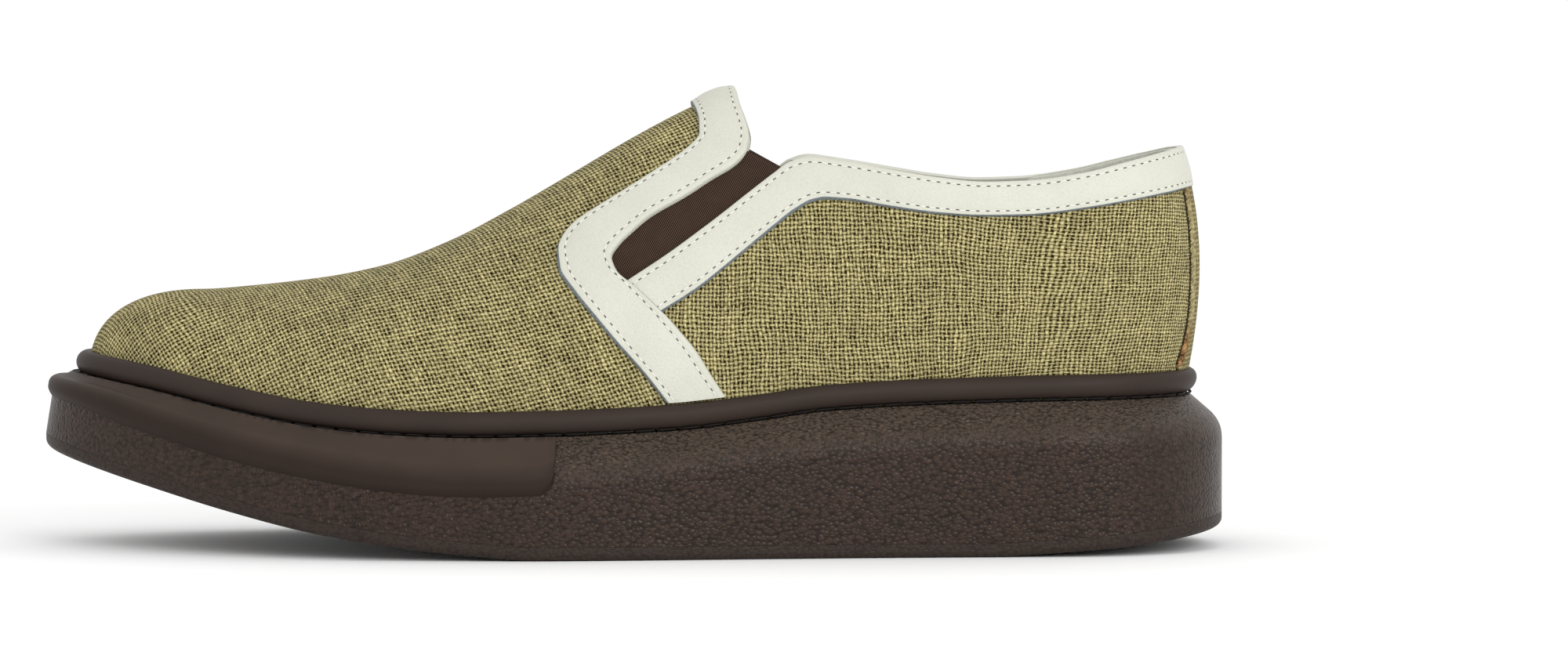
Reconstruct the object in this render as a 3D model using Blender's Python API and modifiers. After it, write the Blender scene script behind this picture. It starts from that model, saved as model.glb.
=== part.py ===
"""A left slip-on shoe: a hollow cloth upper with leather strips and elastic gores on a thick wedge sole.

Metres, +Z up. The toe points to -X, the outer side of the foot faces -Y, and the floor is at z = 0.
Tables and named sizes are in millimetres and are turned into metres where a mesh is made.
"""

import math

import bmesh
import bpy
import numpy as np

MM = 0.001
OUTER, INNER = -1, 1

# Clearance between pieces that meet
GAP = 0.3

# Rounded ends of the foot: where each begins, its reach, how square it is, and its run round the outline
TOE_X, TOE_REACH, TOE_POWER, TOE_SPAN = -112.0, 30.0, 2.25, 46.0
HEEL_X, HEEL_REACH, HEEL_POWER, HEEL_SPAN = 105.0, 37.2, 2.3, 54.0
RUN_START = TOE_X - TOE_SPAN
RUN_END = HEEL_X + HEEL_SPAN

# Rows along the foot, and how much closer they lie at its two ends
RUN_ROWS = 42
RUN_CROWDING = 0.25

# Rows along and steps across the other meshes
UPPER_STEPS = 22
THROAT_ROWS, THROAT_STEPS = 72, 3
COLLAR_ROWS, COLLAR_STEPS = 60, 2
SLOT_ROWS, SLOT_STEPS = 16, 3
BACKSTAY_ROWS, BACKSTAY_STEPS = 10, 7
INSOLE_STEPS = 2
SHOULDER_POINTS = 5

# Thicknesses of the upper and of what is sewn to it
UPPER_WALL = 2.0
TRIM_THICK = 1.2
GORE_THICK = 1.2
BACKSTAY_THICK = 0.9
BACKSTAY_HALF_RUN = 11.6
GORE_INSET = 0.4
GORE_FOOT_SHARE, GORE_HEAD_SHARE = 0.03, 0.98
SLOT_CUT_OUT, SLOT_CUT_DEPTH = 3.0, 7.0
SLOT_MOUTH_SHARE = 0.97
THROAT_CREST_FRONT, THROAT_CREST_REAR = 15.3, 26.5

# Block that cuts the mouth
MOUTH_TOP = 175.0
MOUTH_BACK = 165.0
MOUTH_HALF_WIDTH = 80.0
MOUTH_START = 43.0
MOUTH_POINTS = 24

# The sole, the welt on its edge and the footbed on its top
OUTSOLE_THICK = 3.5
OUTSOLE_EDGE = 1.8
OUTSOLE_ARC = np.linspace(-90, 0, 4)
WELT_BASE = 2.6
WELT_HEIGHT = 6.4
WELT_REACH = 3.5
WELT_CORE = 0.9
WELT_ARC = np.linspace(-78, 84, 6)
INSOLE_THICK = 3.5
INSOLE_INSET = 3.4
BUMPER_THICK = 0.9
BUMPER_END_ROW = 19
BUMPER_CORNER = 5.0
BUMPER_CORNER_ROWS = (0.0, 0.15, 0.4)
BUMPER_TOP_SHARE = 0.1


def columns(names, *rows):
    """A table as one array for each named column."""
    return dict(zip(names.split(), np.array(rows, float).T))


# Half the stretch of x over which the plan is averaged, and the points that are taken for it
PLAN_SOFTENING = 16.0
SOFTENING_POINTS = 7

# Plan of the feather line: half breadth, sideways swing of its middle, and where the crest runs above it
PLAN = columns(
    "x half swing ridge",
    (-155, 17.0, 7.0, 5.0),
    (-142, 21.0, 6.5, 5.0),
    (-112, 31.0, 5.0, 5.0),
    (-90, 39.2, 2.3, 4.2),
    (-65, 44.4, 1.1, 3.4),
    (-35, 43.9, -1.1, 2.0),
    (-10, 40.6, -3.1, 0.5),
    (20, 36.7, -3.3, -0.6),
    (50, 33.5, -2.5, -1.0),
    (80, 32.0, -1.5, -0.8),
    (105, 31.7, -0.5, -0.3),
    (155, 30.5, 0.0, 0.0),
)

# Heights of the feather line and of the tread, and how far the sole's shoulder lies below the feather line
SIDE = columns(
    "x feather drop tread",
    (-155, 45.2, 2.4, 26.2),
    (-142, 44.0, 3.0, 22.4),
    (-123, 41.2, 5.2, 17.2),
    (-102, 36.8, 6.6, 11.6),
    (-80, 33.1, 7.4, 6.7),
    (-60, 31.4, 8.8, 3.5),
    (-40, 30.8, 9.6, 1.3),
    (-22, 31.1, 9.7, 0.0),
    (14, 32.7, 8.0, 0.0),
    (32, 34.8, 7.6, 0.0),
    (50, 37.2, 8.1, 0.0),
    (75, 38.6, 8.1, 0.0),
    (92, 39.1, 8.2, 0.0),
    (103, 39.4, 8.3, 0.6),
    (128, 39.7, 8.2, 2.4),
    (140, 39.8, 7.8, 3.7),
    (155, 39.8, 7.4, 6.0),
)

# Height of the crest, which behind the throat is the top of the last that the mouth cuts away
TOP = columns(
    "x crest",
    (-155, 66.0),
    (-112, 66.3),
    (-100, 67.2),
    (-80, 69.6),
    (-65, 72.6),
    (-48, 78.9),
    (-32, 87.2),
    (-16, 96.5),
    (0, 105.9),
    (10, 111.3),
    (16, 114.3),
    (20, 116.5),
    (23.5, 117.7),
    (27, 118.2),
    (34, 120.2),
    (45, 126.0),
    (70, 139.0),
    (105, 149.0),
    (155, 152.0),
)

# Form of the wall: how high its shoulder sits, how broad its crown is, and its outward bulge
WALL = columns(
    "x shoulder crown bulge",
    (-155, 2.50, 2.30, 0.000),
    (-112, 2.50, 2.30, 0.000),
    (-85, 2.20, 2.15, 0.030),
    (-55, 2.00, 2.05, 0.045),
    (-20, 1.80, 2.00, 0.050),
    (20, 1.75, 2.00, 0.050),
    (60, 1.85, 2.00, 0.060),
    (105, 1.90, 2.00, 0.060),
    (125, 1.75, 2.00, 0.140),
    (142, 1.55, 2.00, 0.235),
    (155, 1.50, 2.00, 0.250),
)

# The sole past the feather line: its reach at the shoulder and at the tread, the rounding of the
# shoulder, and how far below the shoulder the toe bumper ends
SOLE = columns(
    "x shelf foot round lip",
    (-155, 9.2, 11.3, 2.4, 3.4),
    (-142, 9.2, 11.3, 2.4, 3.6),
    (-125, 9.3, 10.6, 3.0, 5.2),
    (-100, 9.4, 10.3, 3.6, 5.4),
    (0, 9.8, 10.2, 3.8, 4.9),
    (105, 9.6, 9.8, 3.8, 4.9),
    (142, 10.9, 10.9, 4.2, 4.9),
    (155, 11.0, 11.0, 4.2, 4.9),
)

# Collar from the gore to the back of the heel: its edge, and the lower edge of the strip that trims it
COLLAR = columns(
    "x top low",
    (46.0, 101.0, 90.4),
    (54.6, 99.9, 90.2),
    (72.6, 97.0, 87.4),
    (88.6, 94.9, 86.1),
    (104.6, 95.4, 86.4),
    (113.0, 96.5, 87.5),
    (121.2, 98.4, 88.9),
    (129.9, 100.4, 90.4),
    (138.7, 102.8, 92.4),
    (155.0, 106.5, 95.8),
)

# Slot for each gore, from its foot to the collar: its edge under the throat strip, then the other
SLOT = columns(
    "front_x front_z rear_x rear_z",
    (-5.2, 72.4, -1.0, 68.6),
    (-6.5, 76.0, 2.9, 69.6),
    (-4.6, 80.0, 7.0, 72.3),
    (-0.4, 84.2, 11.4, 75.4),
    (4.6, 88.0, 16.1, 78.9),
    (10.6, 91.7, 21.4, 82.8),
    (18.6, 95.8, 27.8, 87.8),
    (24.2, 99.6, 33.6, 92.2),
    (28.4, 105.0, 40.4, 98.6),
)

# Edge of the throat, from the crest down to the slot
THROAT_EDGE = ((26.5, 119.5), (28.6, 112.0), (28.9, 107.5))

# Throat strip on one side, from the welt up towards the crest: its edge on the vamp, then on the gore
THROAT_STRIP = columns(
    "front_x front_z rear_x rear_z",
    (9.4, 39.2, 24.4, 40.7),
    (3.7, 46.5, 20.8, 46.2),
    (-3.4, 54.4, 17.0, 52.3),
    (-9.0, 60.9, 12.8, 57.4),
    (-14.2, 67.1, 8.3, 62.2),
    (-18.0, 72.8, 2.4, 67.5),
    (-18.4, 77.4, -2.9, 72.0),
    (-17.0, 81.0, -4.4, 75.8),
    (-13.6, 84.6, -2.6, 78.9),
    (-9.2, 87.5, 1.2, 82.6),
    (-4.8, 90.2, 5.6, 86.2),
    (4.2, 95.9, 14.0, 91.0),
    (13.2, 101.9, 25.2, 97.9),
    (17.6, 106.4, 29.8, 102.6),
    (17.5, 109.8, 30.4, 106.4),
    (17.0, 111.8, 29.3, 110.4),
    (16.2, 113.4, 27.8, 114.4),
)

# Front run of the collar strip, from the gore's foot up to the collar: its upper and its lower edge
COLLAR_STRIP = columns(
    "top_x top_z low_x low_z",
    (0.6, 70.6, 9.4, 62.7),
    (9.0, 76.1, 17.2, 67.6),
    (19.1, 83.4, 26.8, 75.2),
    (29.1, 91.1, 35.9, 82.6),
    (36.5, 96.7, 42.4, 87.6),
    (41.0, 99.8, 46.6, 89.8),
    (46.0, 101.0, 50.2, 90.4),
)
COLLAR_STRIP_RUNS = np.linspace(56.0, RUN_END, 10)

# Finishes: colour and roughness
FINISHES = {
    "outsole_rubber": ((0.045, 0.034, 0.030), 0.62),
    "midsole_rubber": ((0.045, 0.034, 0.030), 0.70),
    "bumper_rubber": ((0.058, 0.043, 0.036), 0.48),
    "welt_rubber": ((0.050, 0.036, 0.031), 0.45),
    "footbed_leather": ((0.42, 0.36, 0.27), 0.60),
    "linen": ((0.30, 0.26, 0.11), 0.90),
    "throat_leather": ((0.76, 0.77, 0.69), 0.50),
    "collar_leather": ((0.76, 0.77, 0.69), 0.50),
    "gore_elastic_outer": ((0.040, 0.022, 0.017), 0.80),
    "gore_elastic_inner": ((0.040, 0.022, 0.017), 0.80),
    "backstay_linen": ((0.30, 0.26, 0.11), 0.90),
}


def line(table, key, soften=0.0):
    """A smooth function of x through one column, with no overshoot, and averaged where it is softened."""
    x, y = table["x"], table[key]
    step = np.diff(x)
    slope = np.diff(y) / step
    before, after = slope[:-1], slope[1:]
    level = before * after <= 0
    near, far = 2 * step[1:] + step[:-1], step[1:] + 2 * step[:-1]
    blend = (near + far) / (near / np.where(level, 1, before) + far / np.where(level, 1, after))
    tangent = np.concatenate([slope[:1], np.where(level, 0, blend), slope[-1:]])

    def at(value):
        value = np.clip(value, x[0], x[-1])
        i = np.clip(np.searchsorted(x, value) - 1, 0, len(step) - 1)
        t = (value - x[i]) / step[i]
        rise = (3 * t**2 - 2 * t**3) * (y[i + 1] - y[i])
        lean = (t**3 - 2 * t**2 + t) * tangent[i] + (t**3 - t**2) * tangent[i + 1]
        return y[i] + rise + lean * step[i]

    if soften:
        shifts = np.linspace(-soften, soften, SOFTENING_POINTS)
        return lambda value: sum(at(value + shift) for shift in shifts) / SOFTENING_POINTS
    return at


half, swing, ridge = (line(PLAN, key, PLAN_SOFTENING) for key in ("half", "swing", "ridge"))
feather, drop, tread = (line(SIDE, key) for key in ("feather", "drop", "tread"))
crest = line(TOP, "crest")
shoulder, crown, bulge = (line(WALL, key) for key in ("shoulder", "crown", "bulge"))
shelf, foot, rounding, lip = (line(SOLE, key) for key in ("shelf", "foot", "round", "lip"))
collar_top, collar_low = (line(COLLAR, key) for key in ("top", "low"))


def flow(table, share):
    """Each column of a table on a smooth path through its rows, at shares 0 to 1 of the way."""
    index = np.arange(len(next(iter(table.values()))), dtype=float)
    return [line({"x": index, "y": values}, "y")(share * index[-1]) for values in table.values()]


def outline(run, side, grow=0.0):
    """Plan of the feather line, grown outwards; the run goes from the toe along one side to the heel."""
    toe = np.clip((TOE_X - run) / TOE_SPAN, 0, 1)
    heel = np.clip((run - HEEL_X) / HEEL_SPAN, 0, 1)
    toe_turn, heel_turn = (1 - toe) * np.pi / 2, (1 - heel) * np.pi / 2
    ahead = np.where(toe > 0, np.cos(toe_turn), 0) ** (2 / TOE_POWER) * (TOE_REACH + grow)
    behind = np.where(heel > 0, np.cos(heel_turn), 0) ** (2 / HEEL_POWER) * (HEEL_REACH + grow)
    x = np.clip(run, TOE_X, HEEL_X) - ahead + behind
    across = np.sin(toe_turn) ** (2 / TOE_POWER) * np.sin(heel_turn) ** (2 / HEEL_POWER)
    return x, swing(x) + side * (half(x) + grow) * across


def run_at(share):
    """The run at a share of the foot's length, with the shares closer together at the toe and the heel."""
    wave = RUN_CROWDING * np.sin(2 * np.pi * share) / (2 * np.pi)
    return RUN_START + (RUN_END - RUN_START) * (share - wave)


def upper_point(run, side, turn):
    """A point on the outside of the upper; turn goes from 0 at the feather line to pi / 2 at the crest."""
    x, y = outline(run, side)
    hub_x = np.clip(run, TOE_X, HEEL_X)
    hub_y = ridge(hub_x)
    rise = np.sin(np.clip(turn, 0, np.pi / 2))
    reach = np.maximum(1 - rise ** shoulder(x), 0) ** (1 / crown(x))
    reach = reach + bulge(x) * np.sin(np.pi * rise)
    z = feather(x) + (crest(hub_x) - feather(x)) * rise
    return np.stack([hub_x + (x - hub_x) * reach, hub_y + (y - hub_y) * reach, z], -1)


def turn_at(run, z):
    """The turn at which the upper's wall reaches the height z."""
    x, _ = outline(run, OUTER)
    low, high = feather(x), crest(np.clip(run, TOE_X, HEEL_X))
    return np.arcsin(np.clip((z - low) / (high - low), 0, 1))


def upper_skin(run, side, turn, offset):
    """A point of the upper moved along its outward normal."""
    step_run, step_turn = 0.2, 0.002
    ahead, back = (np.clip(run + step, RUN_START, RUN_END) for step in (step_run, -step_run))
    along = upper_point(ahead, side, turn) - upper_point(back, side, turn)
    up = upper_point(run, side, turn + step_turn) - upper_point(run, side, turn - step_turn)
    normal = -side[:, None] * np.cross(along, up)
    normal /= np.linalg.norm(normal, axis=-1, keepdims=True)
    return upper_point(run, side, turn) + normal * offset


def both_sides(share):
    """One pass over both sides of the shoe: the side, and a share that runs from 0 to 1 and back to 0."""
    side = np.where(share <= 0.5, OUTER, INNER)
    return side, 1 - np.abs(2 * share - 1)


def pick(section, share):
    """The point of each section that lies at a share of its list of points."""
    index = np.rint(share * (section.shape[1] - 1)).astype(int)
    return section[np.arange(len(section)), index]


def pick_shortened(section, share, cut):
    """As pick, after each section has been drawn back from its end by a cut along its length."""
    length = np.linalg.norm(np.diff(section, axis=1), axis=2)
    reached = np.concatenate([np.zeros((len(section), 1)), np.cumsum(length, axis=1)], axis=1)
    rows = np.arange(len(section))
    index = np.rint(share * (section.shape[1] - 1)).astype(int)
    goal = reached[rows, index] * (1 - cut / reached[:, -1])
    low = np.clip((reached <= goal[:, None]).sum(1) - 1, 0, length.shape[1] - 1)
    part = ((goal - reached[rows, low]) / length[rows, low])[:, None]
    return section[rows, low] * (1 - part) + section[rows, low + 1] * part


def around_sole(side_points, run, around):
    """A point on a closed section of the sole, which goes along its outer and then its inner side."""
    loop = side_points(run, OUTER) + side_points(run, INNER)[::-1]
    return pick(np.stack(loop + loop[:1], 1), around)


def sole_corners(run, side, extra=0.0):
    """Low edge of the midsole's wall, its shoulder, and its top edge by the welt, set off by an extra."""
    base_x, _ = outline(run, side)
    low_x, low_y = outline(run, side, foot(base_x) + extra)
    mid_x, mid_y = outline(run, side, shelf(base_x) + extra)
    top_x, top_y = outline(run, side, WELT_BASE + extra)
    low = np.stack([low_x, low_y, tread(low_x) + OUTSOLE_THICK + GAP], -1)
    mid = np.stack([mid_x, mid_y, feather(mid_x) - drop(mid_x) + extra], -1)
    top = np.stack([top_x, top_y, feather(top_x) - GAP + extra], -1)
    return low, mid, top


def towards(start, goal, distance):
    way = goal - start
    return start + way * (distance / np.linalg.norm(way, axis=-1))[:, None]


def rounded_shoulder(low, mid, top, radius):
    """Points that round the midsole's shoulder, from its wall to its slope."""
    wall, slope = towards(mid, low, radius), towards(mid, top, radius)
    steps = np.linspace(0, 1, SHOULDER_POINTS)
    return [(1 - t) ** 2 * wall + 2 * t * (1 - t) * mid + t**2 * slope for t in steps]


def clear_scene():
    for obj in list(bpy.data.objects):
        bpy.data.objects.remove(obj)


def collection(name):
    made = bpy.data.collections.new(name)
    bpy.context.scene.collection.children.link(made)
    return made


def material(name):
    colour, roughness = FINISHES[name]
    made = bpy.data.materials.new(name)
    made.use_nodes = True
    shader = made.node_tree.nodes["Principled BSDF"]
    shader.inputs["Base Color"].default_value = (*colour, 1.0)
    shader.inputs["Roughness"].default_value = roughness
    shader.inputs["Metallic"].default_value = 0.0
    return made


def mapped_grid(name, group, finish, rows, steps, place):
    """A grid of rows by steps, set in place from shares 0 to 1 each way and welded where its points meet."""
    grid = bmesh.new()
    bmesh.ops.create_grid(grid, x_segments=rows, y_segments=steps, size=1.0)
    flat = np.array([vertex.co for vertex in grid.verts])
    points = place((flat[:, 0] + 1) / 2, (flat[:, 1] + 1) / 2) * MM
    for vertex, point in zip(grid.verts, points):
        vertex.co = point
    bmesh.ops.remove_doubles(grid, verts=grid.verts, dist=1e-6)
    mesh = bpy.data.meshes.new(name)
    grid.to_mesh(mesh)
    grid.free()
    mesh.shade_smooth()
    mesh.set_sharp_from_angle(angle=math.radians(40))
    if finish:
        mesh.materials.append(material(finish))
    obj = bpy.data.objects.new(name, mesh)
    group.objects.link(obj)
    return obj


def thicken(obj, thickness, outward=True):
    """Gives an open sheet its thickness on one side."""
    solid = obj.modifiers.new("thickness", "SOLIDIFY")
    solid.thickness = thickness * MM
    solid.offset = 1.0 if outward else -1.0


def mouth_outline():
    """Side outline of what the mouth takes out of the upper, from the throat to the back of the heel."""
    front_x, front_z, rear_x, rear_z = flow(SLOT, SLOT_MOUTH_SHARE)
    collar_x = np.linspace(MOUTH_START, COLLAR["x"][-1], MOUTH_POINTS)
    points = [(THROAT_EDGE[0][0], MOUTH_TOP), *THROAT_EDGE]
    points += [(front_x, front_z), (rear_x, rear_z)]
    points += zip(collar_x, collar_top(collar_x))
    points += [(MOUTH_BACK, collar_top(MOUTH_BACK)), (MOUTH_BACK, MOUTH_TOP)]
    return points


def make_mouth_cutter(group):
    """The mouth's side outline drawn right across the shoe, as a closed mesh."""
    curve = bpy.data.curves.new("mouth_outline", "CURVE")
    curve.dimensions = "2D"
    curve.fill_mode = "BOTH"
    curve.extrude = MOUTH_HALF_WIDTH * MM
    points = mouth_outline()
    spline = curve.splines.new("POLY")
    spline.points.add(len(points) - 1)
    for target, (x, z) in zip(spline.points, points):
        target.co = (x * MM, z * MM, 0.0, 1.0)
    spline.use_cyclic_u = True
    drawn = bpy.data.objects.new("mouth_outline", curve)
    drawn.rotation_euler = (math.pi / 2, 0.0, 0.0)
    group.objects.link(drawn)
    bpy.context.view_layer.update()
    graph = bpy.context.evaluated_depsgraph_get()
    mesh = bpy.data.meshes.new_from_object(drawn.evaluated_get(graph))
    welded = bmesh.new()
    welded.from_mesh(mesh)
    bmesh.ops.remove_doubles(welded, verts=welded.verts, dist=1e-6)
    bmesh.ops.recalc_face_normals(welded, faces=welded.faces)
    welded.to_mesh(mesh)
    welded.free()
    cutter = bpy.data.objects.new("mouth_cutter", mesh)
    cutter.matrix_world = drawn.matrix_world
    group.objects.link(cutter)
    bpy.data.objects.remove(drawn)
    mark_cutter(cutter)
    return cutter


def mark_cutter(obj):
    obj.hide_render = True
    obj.display_type = "WIRE"


def slot_sheet(name, group, finish, side, inset, head_share, offset):
    """A sheet over one gore slot, drawn in from its edges and set off from the upper's outside."""

    def place(along, across):
        foot_share = GORE_FOOT_SHARE if inset else 0.0
        front_x, front_z, rear_x, rear_z = flow(SLOT, foot_share + along * (head_share - foot_share))
        margin = inset / np.hypot(rear_x - front_x, rear_z - front_z)
        from_front = 1 - across if side == OUTER else across
        part = margin + from_front * (1 - 2 * margin)
        run = front_x + (rear_x - front_x) * part
        turn = turn_at(run, front_z + (rear_z - front_z) * part)
        return upper_skin(run, np.full(len(run), side), turn, offset)

    return mapped_grid(name, group, finish, SLOT_ROWS, SLOT_STEPS, place)


def make_slot_cutter(group, name, side):
    cutter = slot_sheet(name, group, None, side, 0.0, 1.0, SLOT_CUT_OUT)
    thicken(cutter, SLOT_CUT_DEPTH, outward=False)
    mark_cutter(cutter)
    return cutter


def make_upper(group, cutters):
    def place(along, over):
        side, up = both_sides(over)
        return upper_point(run_at(along), side, up * np.pi / 2)

    obj = mapped_grid("upper", group, "linen", RUN_ROWS, UPPER_STEPS, place)
    thicken(obj, UPPER_WALL, outward=False)
    for cutter in cutters:
        cut = obj.modifiers.new(cutter.name, "BOOLEAN")
        cut.operation = "DIFFERENCE"
        cut.solver = "EXACT"
        cut.object = cutter


def make_throat_trim(group):
    crest_turn = np.pi / 2
    strip = THROAT_STRIP
    path = {
        "front_run": np.append(strip["front_x"], THROAT_CREST_FRONT),
        "front_turn": np.append(turn_at(strip["front_x"], strip["front_z"]), crest_turn),
        "rear_run": np.append(strip["rear_x"], THROAT_CREST_REAR),
        "rear_turn": np.append(turn_at(strip["rear_x"], strip["rear_z"]), crest_turn),
    }

    def place(along, across):
        side, up = both_sides(along)
        front_run, front_turn, rear_run, rear_turn = flow(path, up)
        run = rear_run + (front_run - rear_run) * across
        turn = rear_turn + (front_turn - rear_turn) * across
        return upper_skin(run, side, turn, GAP)

    obj = mapped_grid("throat_trim", group, "throat_leather", THROAT_ROWS, THROAT_STEPS, place)
    thicken(obj, TRIM_THICK)


def make_collar_trim(group):
    strip = COLLAR_STRIP
    x, _ = outline(COLLAR_STRIP_RUNS, OUTER)
    path = {
        "top_run": np.append(strip["top_x"], COLLAR_STRIP_RUNS),
        "top_z": np.append(strip["top_z"], collar_top(x)),
        "low_run": np.append(strip["low_x"], COLLAR_STRIP_RUNS),
        "low_z": np.append(strip["low_z"], collar_low(x)),
    }

    def place(along, up):
        side, back = both_sides(along)
        top_run, top_z, low_run, low_z = flow(path, back)
        run = low_run + (top_run - low_run) * up
        return upper_skin(run, side, turn_at(run, low_z + (top_z - low_z) * up), GAP)

    obj = mapped_grid("collar_trim", group, "collar_leather", COLLAR_ROWS, COLLAR_STEPS, place)
    thicken(obj, TRIM_THICK)


def make_gore(group, name, finish, side):
    obj = slot_sheet(name, group, finish, side, GORE_INSET, GORE_HEAD_SHARE, -GAP)
    thicken(obj, GORE_THICK, outward=False)


def make_backstay(group):
    def place(along, up):
        side, middle = both_sides(along)
        run = RUN_END - BACKSTAY_HALF_RUN * (1 - middle)
        x, _ = outline(run, OUTER)
        low, high = feather(x) + WELT_HEIGHT + 2 * GAP, collar_low(x) - 2 * GAP
        return upper_skin(run, side, turn_at(run, low + (high - low) * up), GAP)

    obj = mapped_grid("backstay", group, "backstay_linen", BACKSTAY_ROWS, BACKSTAY_STEPS, place)
    thicken(obj, BACKSTAY_THICK)


def make_welt(group):
    """A half-round roll that follows the foot of the upper all the way round."""
    middle = (WELT_HEIGHT + GAP) / 2
    arc = np.radians(WELT_ARC)
    arc_reach = WELT_CORE + (WELT_REACH - WELT_CORE) * np.cos(arc)
    arc_rise = middle + (WELT_HEIGHT - middle) * np.sin(arc)
    reach = np.concatenate([arc_reach, [GAP] * 3, arc_reach[:1]])
    rise = np.concatenate([arc_rise, [WELT_HEIGHT - GAP, middle, GAP], arc_rise[:1]])

    def place(along, around):
        side, share = both_sides(along)
        run = run_at(share)
        index = np.rint(around * (len(reach) - 1)).astype(int)
        base_x, base_y = outline(run, side)
        grown_x, grown_y = outline(run, side, reach[index])
        wall = upper_point(run, side, turn_at(run, feather(base_x) + rise[index]))
        x, y = wall[:, 0] + grown_x - base_x, wall[:, 1] + grown_y - base_y
        return np.stack([x, y, feather(grown_x) + rise[index]], -1)

    mapped_grid("welt", group, "welt_rubber", 2 * RUN_ROWS, len(reach) - 1, place)


def make_insole(group):
    def place(along, across):
        run = run_at(along)
        x, outer_y = outline(run, OUTER, -INSOLE_INSET)
        _, inner_y = outline(run, INNER, -INSOLE_INSET)
        return np.stack([x, outer_y + (inner_y - outer_y) * across, feather(x)], -1)

    obj = mapped_grid("insole", group, "footbed_leather", RUN_ROWS, INSOLE_STEPS, place)
    thicken(obj, INSOLE_THICK)


def make_midsole(group):
    def side_points(run, side):
        low, mid, top = sole_corners(run, side)
        base_x, _ = outline(run, side)
        return [low, *rounded_shoulder(low, mid, top, rounding(base_x)), top]

    def place(along, around):
        return around_sole(side_points, run_at(along), around)

    steps = 2 * (SHOULDER_POINTS + 2)
    mapped_grid("midsole", group, "midsole_rubber", RUN_ROWS, steps, place)


def make_outsole(group):
    arc = np.radians(OUTSOLE_ARC)

    def side_points(run, side):
        base_x, _ = outline(run, side)
        reach = foot(base_x)
        heights = [*(OUTSOLE_EDGE * (1 + np.sin(arc))), OUTSOLE_THICK]
        insets = [*(OUTSOLE_EDGE * (1 - np.cos(arc))), 0.0]
        points = []
        for height, inset in zip(heights, insets):
            x, y = outline(run, side, reach - inset)
            points.append(np.stack([x, y, tread(x) + height], -1))
        return points

    def place(along, around):
        return around_sole(side_points, run_at(along), around)

    steps = 2 * (len(arc) + 1)
    mapped_grid("outsole", group, "outsole_rubber", RUN_ROWS, steps, place)


def make_toe_bumper(group):
    """A band round the toe on the midsole's slope and shoulder, with rounded lower corners at its ends."""

    rows = np.append(BUMPER_END_ROW - np.array(BUMPER_CORNER_ROWS), np.arange(BUMPER_END_ROW)[::-1])
    end_run = run_at(BUMPER_END_ROW / RUN_ROWS)

    def place(along, down):
        side, ahead = both_sides(along)
        run = run_at(rows[np.rint(ahead * (len(rows) - 1)).astype(int)] / RUN_ROWS)
        low, mid, top = sole_corners(run, side, GAP)
        base_x, _ = outline(run, side)
        edge = top + (mid - top) * BUMPER_TOP_SHARE
        shoulder_points = rounded_shoulder(low, mid, top, rounding(base_x))[::-1]
        section = np.stack([edge, *shoulder_points, towards(mid, low, lip(base_x))], 1)
        inward = np.clip(BUMPER_CORNER - (end_run - run), 0, BUMPER_CORNER)
        lift = BUMPER_CORNER - np.sqrt(BUMPER_CORNER**2 - inward**2)
        return pick_shortened(section, down, lift)

    obj = mapped_grid("toe_bumper", group, "bumper_rubber", 2 * (len(rows) - 1), SHOULDER_POINTS + 1, place)
    thicken(obj, BUMPER_THICK)


def main():
    clear_scene()
    shoe = collection("slip_on_shoe")
    cutters = collection("cutters")
    make_outsole(shoe)
    make_midsole(shoe)
    make_toe_bumper(shoe)
    make_welt(shoe)
    make_insole(shoe)
    mouth = make_mouth_cutter(cutters)
    slots = [make_slot_cutter(cutters, "slot_cutter_outer", OUTER)]
    slots += [make_slot_cutter(cutters, "slot_cutter_inner", INNER)]
    make_upper(shoe, [mouth, *slots])
    make_throat_trim(shoe)
    make_collar_trim(shoe)
    make_gore(shoe, "gore_outer", "gore_elastic_outer", OUTER)
    make_gore(shoe, "gore_inner", "gore_elastic_inner", INNER)
    make_backstay(shoe)


main()
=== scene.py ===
"""Looks of a left slip-on shoe: linen, leather strips, elastic gores and pebbled rubber over the solids.

Tables and named sizes are in millimetres, in the solids' own frame, and are turned into metres where a
mesh is made. The toe points to -X, the outer side of the foot faces -Y, and the floor is at z = 0.
"""

import math
from collections import namedtuple

import bmesh
import bpy
import numpy as np
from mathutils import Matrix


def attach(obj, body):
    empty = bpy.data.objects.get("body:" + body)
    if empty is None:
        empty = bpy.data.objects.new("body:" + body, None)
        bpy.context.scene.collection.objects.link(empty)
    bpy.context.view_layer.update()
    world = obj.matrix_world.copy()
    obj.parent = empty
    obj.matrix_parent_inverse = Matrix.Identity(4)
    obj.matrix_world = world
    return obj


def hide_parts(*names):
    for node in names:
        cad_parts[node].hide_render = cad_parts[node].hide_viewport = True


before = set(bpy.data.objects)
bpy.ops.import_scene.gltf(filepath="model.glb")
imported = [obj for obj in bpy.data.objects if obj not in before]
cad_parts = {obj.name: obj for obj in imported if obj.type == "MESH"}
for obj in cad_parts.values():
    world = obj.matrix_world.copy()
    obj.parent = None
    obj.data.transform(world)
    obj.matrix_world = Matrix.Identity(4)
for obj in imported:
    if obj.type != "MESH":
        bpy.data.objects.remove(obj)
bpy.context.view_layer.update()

# A millimetre in metres, the sign of y on each side of the foot, how far apart pieces meet, and the angle
# from which an edge is sharp
MM = 0.001
OUTER, INNER = -1, 1
GAP = 0.3
SHARP_ANGLE = math.radians(40)

# How near two points of a mesh are welded, in metres
WELD_DISTANCE = 1e-6

# Camera: the photograph's frame, the focal length in its pixels, where it stands and how far it looks down
IMAGE_WIDTH = 2000
FOCAL_PIXELS = 7364
SENSOR_WIDTH = 36.0
CAMERA_SPOT = (39.3, -1500.0, 125.0)
CAMERA_PITCH = 2.671

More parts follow.
